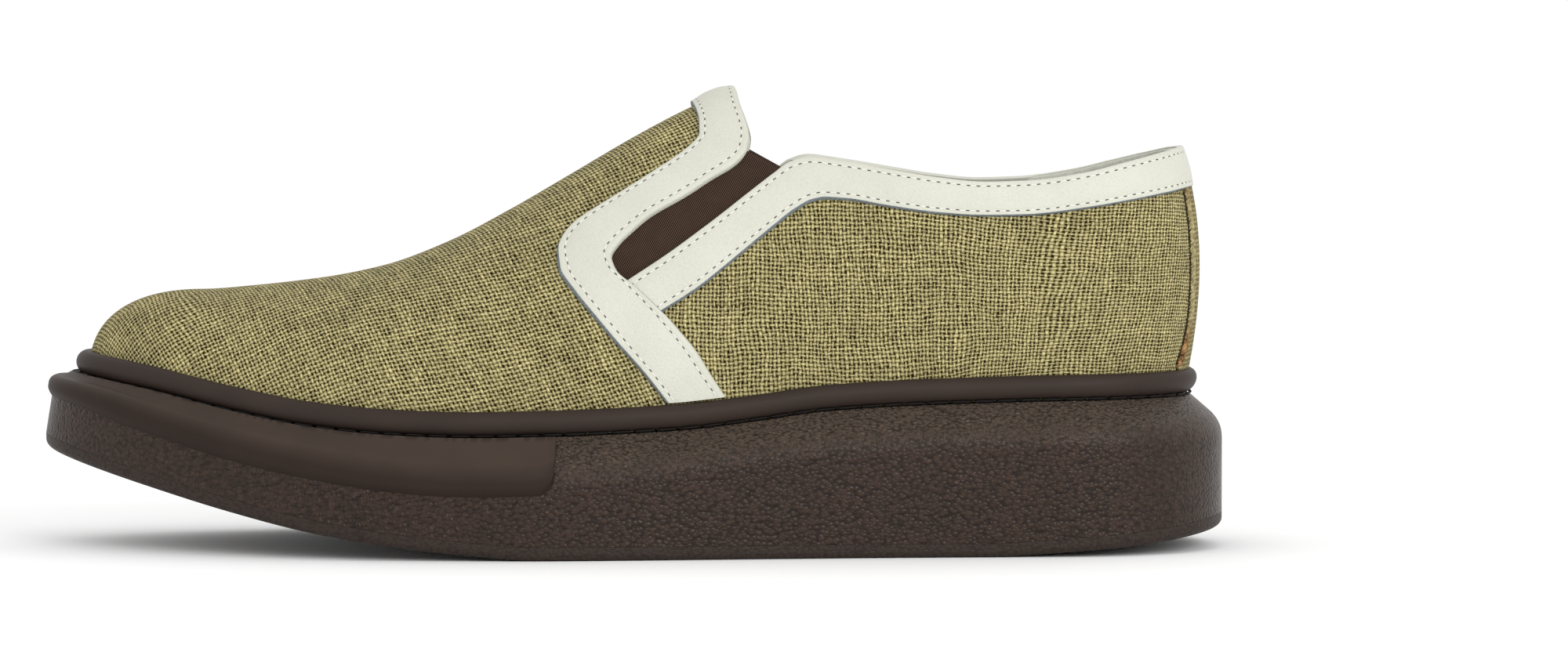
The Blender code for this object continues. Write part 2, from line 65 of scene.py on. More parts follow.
# Rounded ends of the foot: where each begins, its reach, how square it is, and its run round the outline
TOE_X, TOE_REACH, TOE_POWER, TOE_SPAN = -112.0, 30.0, 2.25, 46.0
HEEL_X, HEEL_REACH, HEEL_POWER, HEEL_SPAN = 105.0, 37.2, 2.3, 54.0
RUN_START = TOE_X - TOE_SPAN
RUN_END = HEEL_X + HEEL_SPAN

# Rows of the solids along the run, and how much they crowd at its ends
RUN_ROWS = 42
RUN_CROWDING = 0.25

# The upper's wall, and the gores in it: their thickness, their inset in the slot, the shares of the slot
# between which they lie, their length, and their hem
UPPER_WALL = 2.0
GORE_THICK, GORE_INSET = 1.2, 0.4
GORE_FOOT_SHARE, GORE_HEAD_SHARE = 0.03, 0.98
GORE_LENGTH = 46.0
GORE_HEM, GORE_HEM_RISE = 2.2, 0.35

# The sole, the welt on its edge, the footbed on its top and the bumper round its toe
OUTSOLE_THICK = 3.5
OUTSOLE_EDGE = 1.8
PARTING = 0.06
WELT_BASE = 2.6
WELT_HEIGHT = 6.4
WELT_REACH = 3.5
WELT_CORE = 0.9
WELT_STITCH_REACH = 2.7
INSOLE_THICK = 3.5
INSOLE_INSET = 3.4
INSOLE_EDGE = 1.2
BUMPER_THICK = 0.9
BUMPER_END_ROW = 19
BUMPER_CORNER = 5.0
BUMPER_TOP_SHARE = 0.1
BUMPER_HOLLOW = 0.45

# Rows of the sole's pieces, and the points on the midsole's shoulder and on the outsole's round edge
SOLE_ROWS = 200
SHOULDER_POINTS = 9
OUTSOLE_ARC_POINTS = 6

# Threads of the cloth: their pitch along and up the shoe, the lean of the vamp's upright threads, and the
# points along the vamp for which its level threads are worked out
WARP_PITCH, WEFT_PITCH = 1.035, 1.17
WARP_LEAN = math.radians(65)
THREAD_POINTS = 400

# Seams of the strips, as a share of the width in from an edge, and the points that a seam is measured on
SEAM_SHARE = 0.145
SEAM_POINTS = 4001

# Stitches of each seam: flatness is height against breadth, shift is in pitches along the seam, and the last
# height is over what they are sewn to
Stitch = namedtuple("Stitch", "pitch length radius flatness shift height")
STITCHES = {
    "thread": Stitch(2.55, 1.6, 0.2, 0.8, 0.0, 1.39),
    # Needle holes are dark beads: painted shade inside the holes
    "needle_holes": Stitch(2.55, 0.95, 0.15, 0.6, 0.5, 1.38),
    # The backstay's are dark beads that paint the shadow along its edges
    "backstay": Stitch(1.8, 1.75, 0.22, 0.8, 0.0, 0.12),
    "welt": Stitch(5.8, 5.2, 0.42, 0.7, 0.0, 0.25),
}


def columns(names, *rows):
    """A table as one array for each named column."""
    return dict(zip(names.split(), np.array(rows, float).T))


# Half the stretch of x over which the plan is averaged, and the points that are taken for it
PLAN_SOFTENING = 16.0
SOFTENING_POINTS = 7

# Plan of the feather line: half breadth, sideways swing of its middle, and where the crest runs above it
PLAN = columns(
    "x half swing ridge",
    (-155, 17.0, 7.0, 5.0),
    (-142, 21.0, 6.5, 5.0),
    (-112, 31.0, 5.0, 5.0),
    (-90, 39.2, 2.3, 4.2),
    (-65, 44.4, 1.1, 3.4),
    (-35, 43.9, -1.1, 2.0),
    (-10, 40.6, -3.1, 0.5),
    (20, 36.7, -3.3, -0.6),
    (50, 33.5, -2.5, -1.0),
    (80, 32.0, -1.5, -0.8),
    (105, 31.7, -0.5, -0.3),
    (155, 30.5, 0.0, 0.0),
)

# Heights of the feather line and of the tread, and how far the sole's shoulder lies below the feather line
SIDE = columns(
    "x feather drop tread",
    (-155, 45.2, 2.4, 26.2),
    (-142, 44.0, 3.0, 22.4),
    (-123, 41.2, 5.2, 17.2),
    (-102, 36.8, 6.6, 11.6),
    (-80, 33.1, 7.4, 6.7),
    (-60, 31.4, 8.8, 3.5),
    (-40, 30.8, 9.6, 1.3),
    (-22, 31.1, 9.7, 0.0),
    (14, 32.7, 8.0, 0.0),
    (32, 34.8, 7.6, 0.0),
    (50, 37.2, 8.1, 0.0),
    (75, 38.6, 8.1, 0.0),
    (92, 39.1, 8.2, 0.0),
    (103, 39.4, 8.3, 0.6),
    (128, 39.7, 8.2, 2.4),
    (140, 39.8, 7.8, 3.7),
    (155, 39.8, 7.4, 6.0),
)

# Height of the crest, which behind the throat is the top of the last that the mouth cuts away
TOP = columns(
    "x crest",
    (-155, 66.0),
    (-112, 66.3),
    (-100, 67.2),
    (-80, 69.6),
    (-65, 72.6),
    (-48, 78.9),
    (-32, 87.2),
    (-16, 96.5),
    (0, 105.9),
    (10, 111.3),
    (16, 114.3),
    (20, 116.5),
    (23.5, 117.7),
    (27, 118.2),
    (34, 120.2),
    (45, 126.0),
    (70, 139.0),
    (105, 149.0),
    (155, 152.0),
)

# Form of the wall: how high its shoulder sits, how broad its crown is, and its outward bulge
WALL = columns(
    "x shoulder crown bulge",
    (-155, 2.50, 2.30, 0.000),
    (-112, 2.50, 2.30, 0.000),
    (-85, 2.20, 2.15, 0.030),
    (-55, 2.00, 2.05, 0.045),
    (-20, 1.80, 2.00, 0.050),
    (20, 1.75, 2.00, 0.050),
    (60, 1.85, 2.00, 0.060),
    (105, 1.90, 2.00, 0.060),
    (125, 1.75, 2.00, 0.140),
    (142, 1.55, 2.00, 0.235),
    (155, 1.50, 2.00, 0.250),
)

# The sole past the feather line: its reach at the shoulder and at the tread, the rounding of the
# shoulder, and how far below the shoulder the toe bumper ends
SOLE = columns(
    "x shelf foot round lip",
    (-155, 9.2, 11.3, 2.4, 3.4),
    (-142, 9.2, 11.3, 2.4, 3.6),
    (-125, 9.3, 10.6, 3.0, 5.2),
    (-100, 9.4, 10.3, 3.6, 5.4),
    (0, 9.8, 10.2, 3.8, 4.9),
    (105, 9.6, 9.8, 3.8, 4.9),
    (142, 10.9, 10.9, 4.2, 4.9),
    (155, 11.0, 11.0, 4.2, 4.9),
)

# Collar from the gore to the back of the heel: its edge, and the lower edge of the strip that trims it
COLLAR = columns(
    "x top low",
    (46.0, 101.0, 90.4),
    (54.6, 99.9, 90.2),
    (72.6, 97.0, 87.4),
    (88.6, 94.9, 86.1),
    (104.6, 95.4, 86.4),
    (113.0, 96.5, 87.5),
    (121.2, 98.4, 88.9),
    (129.9, 100.4, 90.4),
    (138.7, 102.8, 92.4),
    (155.0, 106.5, 95.8),
)

# Slot for each gore, from its foot to the collar: its edge under the throat strip, then the other
SLOT = columns(
    "front_x front_z rear_x rear_z",
    (-5.2, 72.4, -1.0, 68.6),
    (-6.5, 76.0, 2.9, 69.6),
    (-4.6, 80.0, 7.0, 72.3),
    (-0.4, 84.2, 11.4, 75.4),
    (4.6, 88.0, 16.1, 78.9),
    (10.6, 91.7, 21.4, 82.8),
    (18.6, 95.8, 27.8, 87.8),
    (24.2, 99.6, 33.6, 92.2),
    (28.4, 105.0, 40.4, 98.6),
)

# Throat strip on one side, from the welt up towards the crest: its edge on the vamp, then on the gore
THROAT_STRIP = columns(
    "front_x front_z rear_x rear_z",
    (9.4, 39.2, 24.4, 40.7),
    (3.7, 46.5, 20.8, 46.2),
    (-3.4, 54.4, 17.0, 52.3),
    (-9.0, 60.9, 12.8, 57.4),
    (-14.2, 67.1, 8.3, 62.2),
    (-18.0, 72.8, 2.4, 67.5),
    (-18.4, 77.4, -2.9, 72.0),
    (-17.0, 81.0, -4.4, 75.8),
    (-13.6, 84.6, -2.6, 78.9),
    (-9.2, 87.5, 1.2, 82.6),
    (-4.8, 90.2, 5.6, 86.2),
    (4.2, 95.9, 14.0, 91.0),
    (13.2, 101.9, 25.2, 97.9),
    (17.6, 106.4, 29.8, 102.6),
    (17.5, 109.8, 30.4, 106.4),
    (17.0, 111.8, 29.3, 110.4),
    (16.2, 113.4, 27.8, 114.4),
)

# Where the throat strip's two edges cross the crest
THROAT_CREST_FRONT, THROAT_CREST_REAR = 15.3, 26.5

# Front run of the collar strip, from under the throat strip up to the collar: its upper and its lower edge
COLLAR_STRIP = columns(
    "top_x top_z low_x low_z",
    (-2.7, 68.4, 6.2, 60.7),
    (0.6, 70.6, 9.4, 62.7),
    (9.0, 76.1, 17.2, 67.6),
    (19.1, 83.4, 26.8, 75.2),
    (29.1, 91.1, 35.9, 82.6),
    (36.5, 96.7, 42.4, 87.6),
    (41.0, 99.8, 46.6, 89.8),
    (46.0, 101.0, 50.2, 90.4),
)
COLLAR_STRIP_RUNS = np.linspace(56.0, RUN_END, 10)

# Rear edge of the vamp's cloth, which the throat strip covers
VAMP_EDGE = columns(
    "x z",
    (26.0, 30.0),
    (20.0, 40.0),
    (12.0, 52.0),
    (3.0, 62.0),
    (-1.5, 66.5),
    (-6.5, 70.2),
    (-8.3, 75.0),
    (-6.5, 80.0),
    (-2.0, 84.2),
    (3.0, 88.0),
    (9.0, 91.7),
    (17.0, 95.8),
    (23.0, 99.6),
    (27.6, 105.0),
    (27.6, 112.0),
    (26.0, 119.0),
)

# Front run of the quarter's cloth: its upper edge under the collar strip, and its foot
QUARTER_FRONT = columns(
    "top_x top_z low_x",
    (-2.5, 66.5, 16.0),
    (3.0, 68.2, 20.0),
    (8.0, 71.8, 24.0),
    (18.6, 79.6, 31.0),
    (29.0, 87.6, 37.0),
    (37.0, 94.2, 42.5),
    (41.5, 98.6, 46.0),
    (46.0, 100.6, 50.0),
)

# Slope of the vamp's level threads along the shoe, seen from the side
VAMP_THREADS = columns(
    "x slope",
    (-175, 0.20),
    (-130, 0.30),
    (-107, 0.50),
    (-95, 0.54),
    (-79, 0.40),
    (-63, 0.22),
    (-48, 0.16),
    (-32, 0.22),
    (-20, 0.26),
    (10, 0.30),
    (35, 0.30),
)

# The quarter's threads along the shoe: pitch of the level ones, which close up to the heel, and the lean of
# the upright ones
QUARTER_THREADS = columns(
    "x pitch lean",
    (10, 1.14, -0.03),
    (60, 1.12, -0.06),
    (80, 1.05, -0.02),
    (95, 0.95, 0.06),
    (110, 0.90, 0.15),
    (160, 0.87, 0.20),
)
QUARTER_THREADS_MIDDLE = 63.0

# Soft troughs and ridges in the cloth, seen from the side: middle, lean, half length, half breadth, depth
CREASES = columns(
    "x z lean length breadth depth",
    (47.0, 74.0, 78, 16, 6.0, 0.55),
    (59.0, 72.0, 82, 17, 5.0, -0.50),
    (72.0, 66.0, 86, 18, 7.0, 0.35),
    (124.0, 68.0, 96, 18, 6.0, -0.45),
    (-32.0, 62.0, 55, 16, 6.0, -0.45),
    (-46.0, 58.0, 60, 15, 6.0, 0.35),
    (-80.0, 54.0, 75, 12, 7.0, -0.35),
)

# Section of both strips, from the turned edge to the cut one and back underneath: share of the width, height
# over the cloth, and where the cut edge shows
STRIP_SECTION = columns(
    "share height cut",
    (0.000, -0.25, 0),
    (0.000, 0.70, 0),
    (0.012, 1.12, 0),
    (0.040, 1.38, 0),
    (0.090, 1.46, 0),
    (0.125, 1.38, 0),
    (0.145, 1.33, 0),
    (0.165, 1.38, 0),
    (0.205, 1.48, 0),
    (0.350, 1.56, 0),
    (0.500, 1.58, 0),
    (0.650, 1.56, 0),
    (0.795, 1.48, 0),
    (0.835, 1.38, 0),
    (0.855, 1.33, 0),
    (0.875, 1.38, 0),
    (0.915, 1.44, 0),
    (0.955, 1.38, 0),
    (0.966, 1.28, 1),
    (0.988, 0.85, 1),
    (1.000, 0.40, 1),
    (1.000, 0.05, 1),
    (0.500, -0.10, 0),
    (0.080, -0.25, 0),
    (0.000, -0.25, 0),
)

# Where each strip folds over the rim of the wall under it and over what stretch the fold begins, how far
# down it then reaches, and the share of the width that turns down
THROAT_FOLD_SHARE, THROAT_FOLD_SPREAD = 0.765, 0.02
COLLAR_FOLD_RUN, COLLAR_FOLD_END, COLLAR_FOLD_SPREAD = 41.0, 106.0, 2.0
FOLD_DEPTH, FOLD_EDGE = 1.95, 0.1


def line(table, key, soften=0.0):
    """A smooth function of x through one column, with no overshoot, and averaged where it is softened."""
    x, y = table["x"], table[key]
    step = np.diff(x)
    slope = np.diff(y) / step
    before, after = slope[:-1], slope[1:]
    level = before * after <= 0
    near, far = 2 * step[1:] + step[:-1], step[1:] + 2 * step[:-1]
    blend = (near + far) / (near / np.where(level, 1, before) + far / np.where(level, 1, after))
    tangent = np.concatenate([slope[:1], np.where(level, 0, blend), slope[-1:]])

    def at(value):
        value = np.clip(value, x[0], x[-1])
        i = np.clip(np.searchsorted(x, value) - 1, 0, len(step) - 1)
        t = (value - x[i]) / step[i]
        rise = (3 * t**2 - 2 * t**3) * (y[i + 1] - y[i])
        lean = (t**3 - 2 * t**2 + t) * tangent[i] + (t**3 - t**2) * tangent[i + 1]
        return y[i] + rise + lean * step[i]

    if soften:
        shifts = np.linspace(-soften, soften, SOFTENING_POINTS)
        return lambda value: sum(at(value + shift) for shift in shifts) / SOFTENING_POINTS
    return at


def between(low, high, share):
    """A value at a share of the way from a low one to a high one."""
    return low + (high - low) * share


half, swing, ridge = (line(PLAN, key, PLAN_SOFTENING) for key in ("half", "swing", "ridge"))
feather, drop, tread = (line(SIDE, key) for key in ("feather", "drop", "tread"))
crest = line(TOP, "crest")
shoulder, crown, bulge = (line(WALL, key) for key in ("shoulder", "crown", "bulge"))
shelf, foot, rounding, lip = (line(SOLE, key) for key in ("shelf", "foot", "round", "lip"))
collar_top, collar_low = (line(COLLAR, key) for key in ("top", "low"))


def flow(table, share):
    """Each column of a table on a smooth path through its rows, at shares 0 to 1 of the way."""
    index = np.arange(len(next(iter(table.values()))), dtype=float)
    return [line({"x": index, "y": values}, "y")(share * index[-1]) for values in table.values()]


def outline(run, side, grow=0.0):
    """Plan of the feather line, grown outwards; the run goes from the toe along one side to the heel."""
    toe = np.clip((TOE_X - run) / TOE_SPAN, 0, 1)
    heel = np.clip((run - HEEL_X) / HEEL_SPAN, 0, 1)
    toe_turn, heel_turn = (1 - toe) * np.pi / 2, (1 - heel) * np.pi / 2
    ahead = np.where(toe > 0, np.cos(toe_turn), 0) ** (2 / TOE_POWER) * (TOE_REACH + grow)
    behind = np.where(heel > 0, np.cos(heel_turn), 0) ** (2 / HEEL_POWER) * (HEEL_REACH + grow)
    x = np.clip(run, TOE_X, HEEL_X) - ahead + behind
    across = np.sin(toe_turn) ** (2 / TOE_POWER) * np.sin(heel_turn) ** (2 / HEEL_POWER)
    return x, swing(x) + side * (half(x) + grow) * across


def run_at(share):
    """The run at a share of the foot's length, with the shares closer together at the toe and the heel."""
    wave = RUN_CROWDING * np.sin(2 * np.pi * share) / (2 * np.pi)
    return between(RUN_START, RUN_END, share - wave)


def upper_point(run, side, turn):
    """A point on the outside of the upper; turn goes from 0 at the feather line to pi / 2 at the crest."""
    x, y = outline(run, side)
    hub_x = np.clip(run, TOE_X, HEEL_X)
    hub_y = ridge(hub_x)
    rise = np.sin(np.clip(turn, 0, np.pi / 2))
    reach = np.maximum(1 - rise ** shoulder(x), 0) ** (1 / crown(x))
    reach = reach + bulge(x) * np.sin(np.pi * rise)
    z = between(feather(x), crest(hub_x), rise)
    return np.stack([between(hub_x, x, reach), between(hub_y, y, reach), z], -1)


def turn_at(run, z):
    """The turn at which the upper's wall reaches the height z."""
    x, _ = outline(run, OUTER)
    low, high = feather(x), crest(np.clip(run, TOE_X, HEEL_X))
    return np.arcsin(np.clip((z - low) / (high - low), 0, 1))


def crease_depth(point):
    """How far the cloth stands out or dips at a point, from the table of creases."""
    depth = 0.0
    for x, z, lean, length, breadth, height in zip(*CREASES.values()):
        lean = np.radians(lean)
        east, north = point[..., 0] - x, point[..., 2] - z
        along = east * np.cos(lean) + north * np.sin(lean)
        across = north * np.cos(lean) - east * np.sin(lean)
        depth = depth + height * np.exp(-((along / length) ** 2) - (across / breadth) ** 2)
    return depth


# Steps of run and turn over which the upper's slopes are measured
SLOPE_RUN, SLOPE_TURN = 0.2, 0.002


def upper_skin(run, side, turn, offset):
    """A point of the creased upper moved along its outward normal."""
    ahead, back = (np.clip(run + step, RUN_START, RUN_END) for step in (SLOPE_RUN, -SLOPE_RUN))
    along = upper_point(ahead, side, turn) - upper_point(back, side, turn)
    up = upper_point(run, side, turn + SLOPE_TURN) - upper_point(run, side, turn - SLOPE_TURN)
    normal = -np.expand_dims(side, -1) * np.cross(along, up)
    length = np.linalg.norm(normal, axis=-1, keepdims=True)
    normal = np.where(length > 0, normal / np.where(length > 0, length, 1), (0.0, 0.0, 1.0))
    point = upper_point(run, side, turn)
    return point + normal * (offset + crease_depth(point))[..., None]


def both_sides(share):
    """One pass over both sides of the shoe: the side, and a share that runs from 0 to 1 and back to 0."""
    return np.where(share <= 0.5, OUTER, INNER), 1 - np.abs(2 * share - 1)


def sole_line(run, side, grow, base, height):
    """A line round the sole, grown from the feather line, at a height over a base line."""
    x, y = outline(run, side, grow)
    return np.stack([x, y, base(x) + height], -1)


def shoulder_height(x):
    return feather(x) - drop(x)


def sole_corners(run, side, extra=0.0):
    """Low edge of the midsole's wall, its shoulder, and its top edge by the welt, set off by an extra."""
    base_x, _ = outline(run, side)
    low = sole_line(run, side, foot(base_x) + extra, tread, OUTSOLE_THICK + PARTING)
    mid = sole_line(run, side, shelf(base_x) + extra, shoulder_height, extra)
    top = sole_line(run, side, WELT_BASE + extra, feather, extra - GAP)
    return low, mid, top


def towards(start, goal, distance):
    """A point at a distance from a start, on the way to a goal."""
    way = goal - start
    return start + way * (distance / np.linalg.norm(way, axis=-1))[..., None]


def rounded_shoulder(low, mid, top, radius):
    """Points that round the midsole's shoulder, from its wall to its slope."""
    wall, slope = towards(mid, low, radius), towards(mid, top, radius)
    steps = np.linspace(0, 1, SHOULDER_POINTS)
    return [(1 - t) ** 2 * wall + 2 * t * (1 - t) * mid + t**2 * slope for t in steps]


# Meshes


def new_mesh(name, points, faces):
    """A mesh from points in millimetres."""
    mesh = bpy.data.meshes.new(name)
    mesh.from_pydata((points.reshape(-1, 3) * MM).tolist(), [], faces)
    return mesh


def add_object(name, data):
    """A new object in the scene."""
    made = bpy.data.objects.new(name, data)
    bpy.context.scene.collection.objects.link(made)
    return made


def grid_mesh(name, points, marks=None, closed=False):
    """A mesh from a grid of points, welded where they meet; marks are values kept on its points."""
    rows, steps = points.shape[:2]
    index = np.arange(rows * steps).reshape(rows, steps)
    corners = index[:-1, :-1], index[1:, :-1], index[1:, 1:], index[:-1, 1:]
    faces = np.stack([corner.ravel() for corner in corners], -1)
    mesh = new_mesh(name, points, faces.tolist())
    for mark, values in (marks or {}).items():
        kind, field = ("FLOAT_VECTOR", "vector") if values.ndim == 3 else ("FLOAT", "value")
        layer = mesh.attributes.new(mark, kind, "POINT")
        layer.data.foreach_set(field, values.ravel().astype(np.float32))
    welded = bmesh.new()
    welded.from_mesh(mesh)
    bmesh.ops.remove_doubles(welded, verts=welded.verts, dist=WELD_DISTANCE)
    if closed:
        bmesh.ops.holes_fill(welded, edges=welded.edges)
        bmesh.ops.recalc_face_normals(welded, faces=welded.faces)
    welded.to_mesh(mesh)
    welded.free()
    return mesh


def shares(rows, steps):
    """Two grids of shares 0 to 1: along the rows, and across them."""
    return np.meshgrid(np.linspace(0, 1, rows + 1), np.linspace(0, 1, steps + 1), indexing="ij")


def section_grid(rows, points):
    """Two grids for a swept section: shares along the rows, and the number of each point of the section."""
    return np.meshgrid(np.linspace(0, 1, rows + 1), np.arange(points), indexing="ij")


def add_piece(name, mesh, slot, finishes, *nodes):
    """A piece of the shoe with its finishes, riding on its body and standing for the solids named."""
    mesh.shade_smooth()
    mesh.set_sharp_from_angle(angle=SHARP_ANGLE)
    for finish in finishes:
        mesh.materials.append(finish)
    piece = add_object(name, mesh)
    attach(piece, "root")
    if nodes:
        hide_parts(*nodes)
    return piece


def line_inside(piece, thickness):
    """Gives a sheet its thickness inwards, with the second finish on its inside and its rim."""
    solid = piece.modifiers.new("thickness", "SOLIDIFY")
    solid.thickness = thickness * MM
    solid.offset = -1.0
    solid.material_offset = 1
    solid.material_offset_rim = 1


# Rings of a bead from end to end: place along its length, and share of its radius
BEAD_RINGS = columns(
    "place radius",
    (-0.47, 0.45),
    (-0.40, 0.80),
    (-0.22, 1.00),
    (0.22, 1.00),
    (0.40, 0.80),
    (0.47, 0.45),
)
BEAD_SIDES = 7


def beads_mesh(name, starts, ends, ups, radius, flatness=1.0):
    """Many small rounded threads in one mesh, each from a start to an end, flattened along its up."""
    axis = ends - starts
    up = ups / np.linalg.norm(ups, axis=1, keepdims=True)
    across = np.cross(axis, up)
    across /= np.linalg.norm(across, axis=1, keepdims=True)
    rings = len(BEAD_RINGS["place"])
    turn = np.arange(BEAD_SIDES) * 2 * np.pi / BEAD_SIDES
    place = np.concatenate([[-0.5], np.repeat(BEAD_RINGS["place"], BEAD_SIDES), [0.5]])
    spread = np.concatenate([[0.0], np.repeat(BEAD_RINGS["radius"], BEAD_SIDES), [0.0]])
    angle = np.concatenate([[0.0], np.tile(turn, rings), [0.0]])
    wide = radius * (spread * np.cos(angle))
    tall = radius * flatness * (spread * np.sin(angle))
    points = ((starts + ends) / 2)[:, None] + axis[:, None] * place[None, :, None]
    points = points + across[:, None] * wide[None, :, None] + up[:, None] * tall[None, :, None]
    count = len(place)
    ring = np.arange(BEAD_SIDES)
    after = (ring + 1) % BEAD_SIDES
    faces = [(0, 1 + b, 1 + a) for a, b in zip(ring, after)]
    for step in range(rings - 1):
        near, far = 1 + step * BEAD_SIDES, 1 + (step + 1) * BEAD_SIDES
        faces += [(near + a, near + b, far + b, far + a) for a, b in zip(ring, after)]
    last = count - 1 - BEAD_SIDES
    faces += [(count - 1, last + a, last + b) for a, b in zip(ring, after)]
    firsts = np.arange(len(starts)) * count
    every = [tuple(corner + first for corner in face) for first in firsts for face in faces]
    return new_mesh(name, points, every)


def even_steps(points, share, stitch):
    """Starts and ends, as shares of a seam, of stitches that follow each other along its points."""
    reached = np.concatenate([[0], np.cumsum(np.linalg.norm(np.diff(points, axis=0), axis=1))])
    count = int(reached[-1] / stitch.pitch)
    middle = (np.arange(count) + 0.5 + stitch.shift) * reached[-1] / count
    middle = middle[middle + stitch.length / 2 < reached[-1]]
    return [np.interp(middle + way, reached, share) for way in (-stitch.length / 2, stitch.length / 2)]


def stitched(name, stitch, point_at):
    """Stitches of one kind along a seam; point_at gives its points from shares and a height."""
    share = np.linspace(0, 1, SEAM_POINTS)
    starts, ends = even_steps(point_at(share, stitch.height), share, stitch)
    low, high = point_at(starts, stitch.height), point_at(ends, stitch.height)
    ups = point_at(starts, stitch.height + 1.0) - low
    return beads_mesh(name, low, high, ups, stitch.radius, stitch.flatness)


def joined(name, meshes):
    """One mesh out of several."""
    merged = bmesh.new()
    for mesh in meshes:
        merged.from_mesh(mesh)
    result = bpy.data.meshes.new(name)
    merged.to_mesh(result)
    merged.free()
    return result


# Materials

# Colours of the finishes, on screen from 0 to 255, each at its place along a value of 0 to 1. Linen and tape
# go from the bottom of their holes to the tops of their threads: painted shade in the holes and where
# threads dip under, painted highlight on the thread tops; the tape's threads lie closer. Fray is brown by
# its share of
# 100 mm of height, and rims are the pale edges of pebbles beside their crevices: painted highlight on the
# rims and painted shade in the crevices.
TONES = {
    "linen": (
        (0.00, (24, 18, 7)),
        (0.10, (45, 37, 17)),
        (0.26, (104, 94, 56)),
        (0.60, (136, 126, 82)),
        (1.00, (204, 195, 150)),
    ),
    "tape": (
        (0.00, (62, 52, 26)),
        (0.10, (84, 73, 40)),
        (0.26, (118, 107, 68)),
        (0.60, (136, 126, 84)),
        (1.00, (172, 161, 116)),
    ),
    "knit": ((0.00, (104, 104, 102)), (0.90, (66, 66, 66))),
    "facing": ((0.30, (184, 185, 173)), (0.70, (196, 197, 185))),
    "leather": ((0.30, (197, 197, 184)), (0.70, (202, 203, 191))),
    "pores": ((0.30, (255, 255, 255)), (0.80, (246, 246, 243))),
    # Colour of the cut edges, which also paints the shadow line where the throat strip passes over the
    # collar strip
    "cut_edge_and_lap_shadow": ((0.30, (92, 100, 105)), (0.70, (132, 140, 144))),
    "fray": ((0.30, (108, 97, 61)), (0.70, (188, 177, 136))),
    "brown_fray": ((0.35, (70, 44, 24)), (0.70, (176, 132, 88))),
    "fray_is_brown": ((0.53, (255,) * 3), (0.60, (0,) * 3), (0.86, (0,) * 3), (0.92, (190,) * 3)),
    # Elastic runs from the valleys between its ribs, painted shade, to the rib tops, painted highlight
    "elastic": ((0.05, (20, 12, 8)), (0.50, (52, 39, 31)), (0.95, (88, 69, 57))),
    "rim_highlights_and_crevice_shade": ((0.00, (190,) * 3), (0.05, (255,) * 3), (0.16, (186,) * 3)),
    "footbed": ((0.30, (150, 132, 104)), (0.70, (178, 161, 132))),
    "floor": ((0.30, (253, 253, 253)), (0.70, (254, 254, 254))),
}

# Plain colours of rubber and thread, which their finishes make lighter and darker
COLOURS = {
    "midsole": (50, 38, 31),
    # The ledge is painted lighter than the wall, standing in for the light from above on its upward face
    "midsole_lit_ledge": (66, 56, 48),
    "outsole": (53, 43, 37),
    "bumper": (45, 34, 28),
    # The bumper's ledge is painted lighter, standing in for the light from above on its upward face
    "bumper_lit_ledge": (61, 50, 43),
    "welt": (54, 44, 39),
    "pale_thread": (226, 226, 216),
    # Colour of the dark beads that paint the shade inside the needle holes
    "needle_hole": (88, 87, 81),
    # Colour of the beads that paint the shadow along the backstay's edges
    "backstay_shadow_thread": (40, 32, 17),
    "waxed_thread": (15, 12, 11),
}


def screen(channel):
    """A channel of 0 to 255 on screen as linear light."""
    share = channel / 255
    return share / 12.92 if share <= 0.04045 else ((share + 0.055) / 1.055) ** 2.4


def shades(colour, *stops):
    """Tones that are one plain colour, made darker or lighter by a factor at each place."""
    return [(place, [channel * factor for channel in colour]) for place, factor in stops]


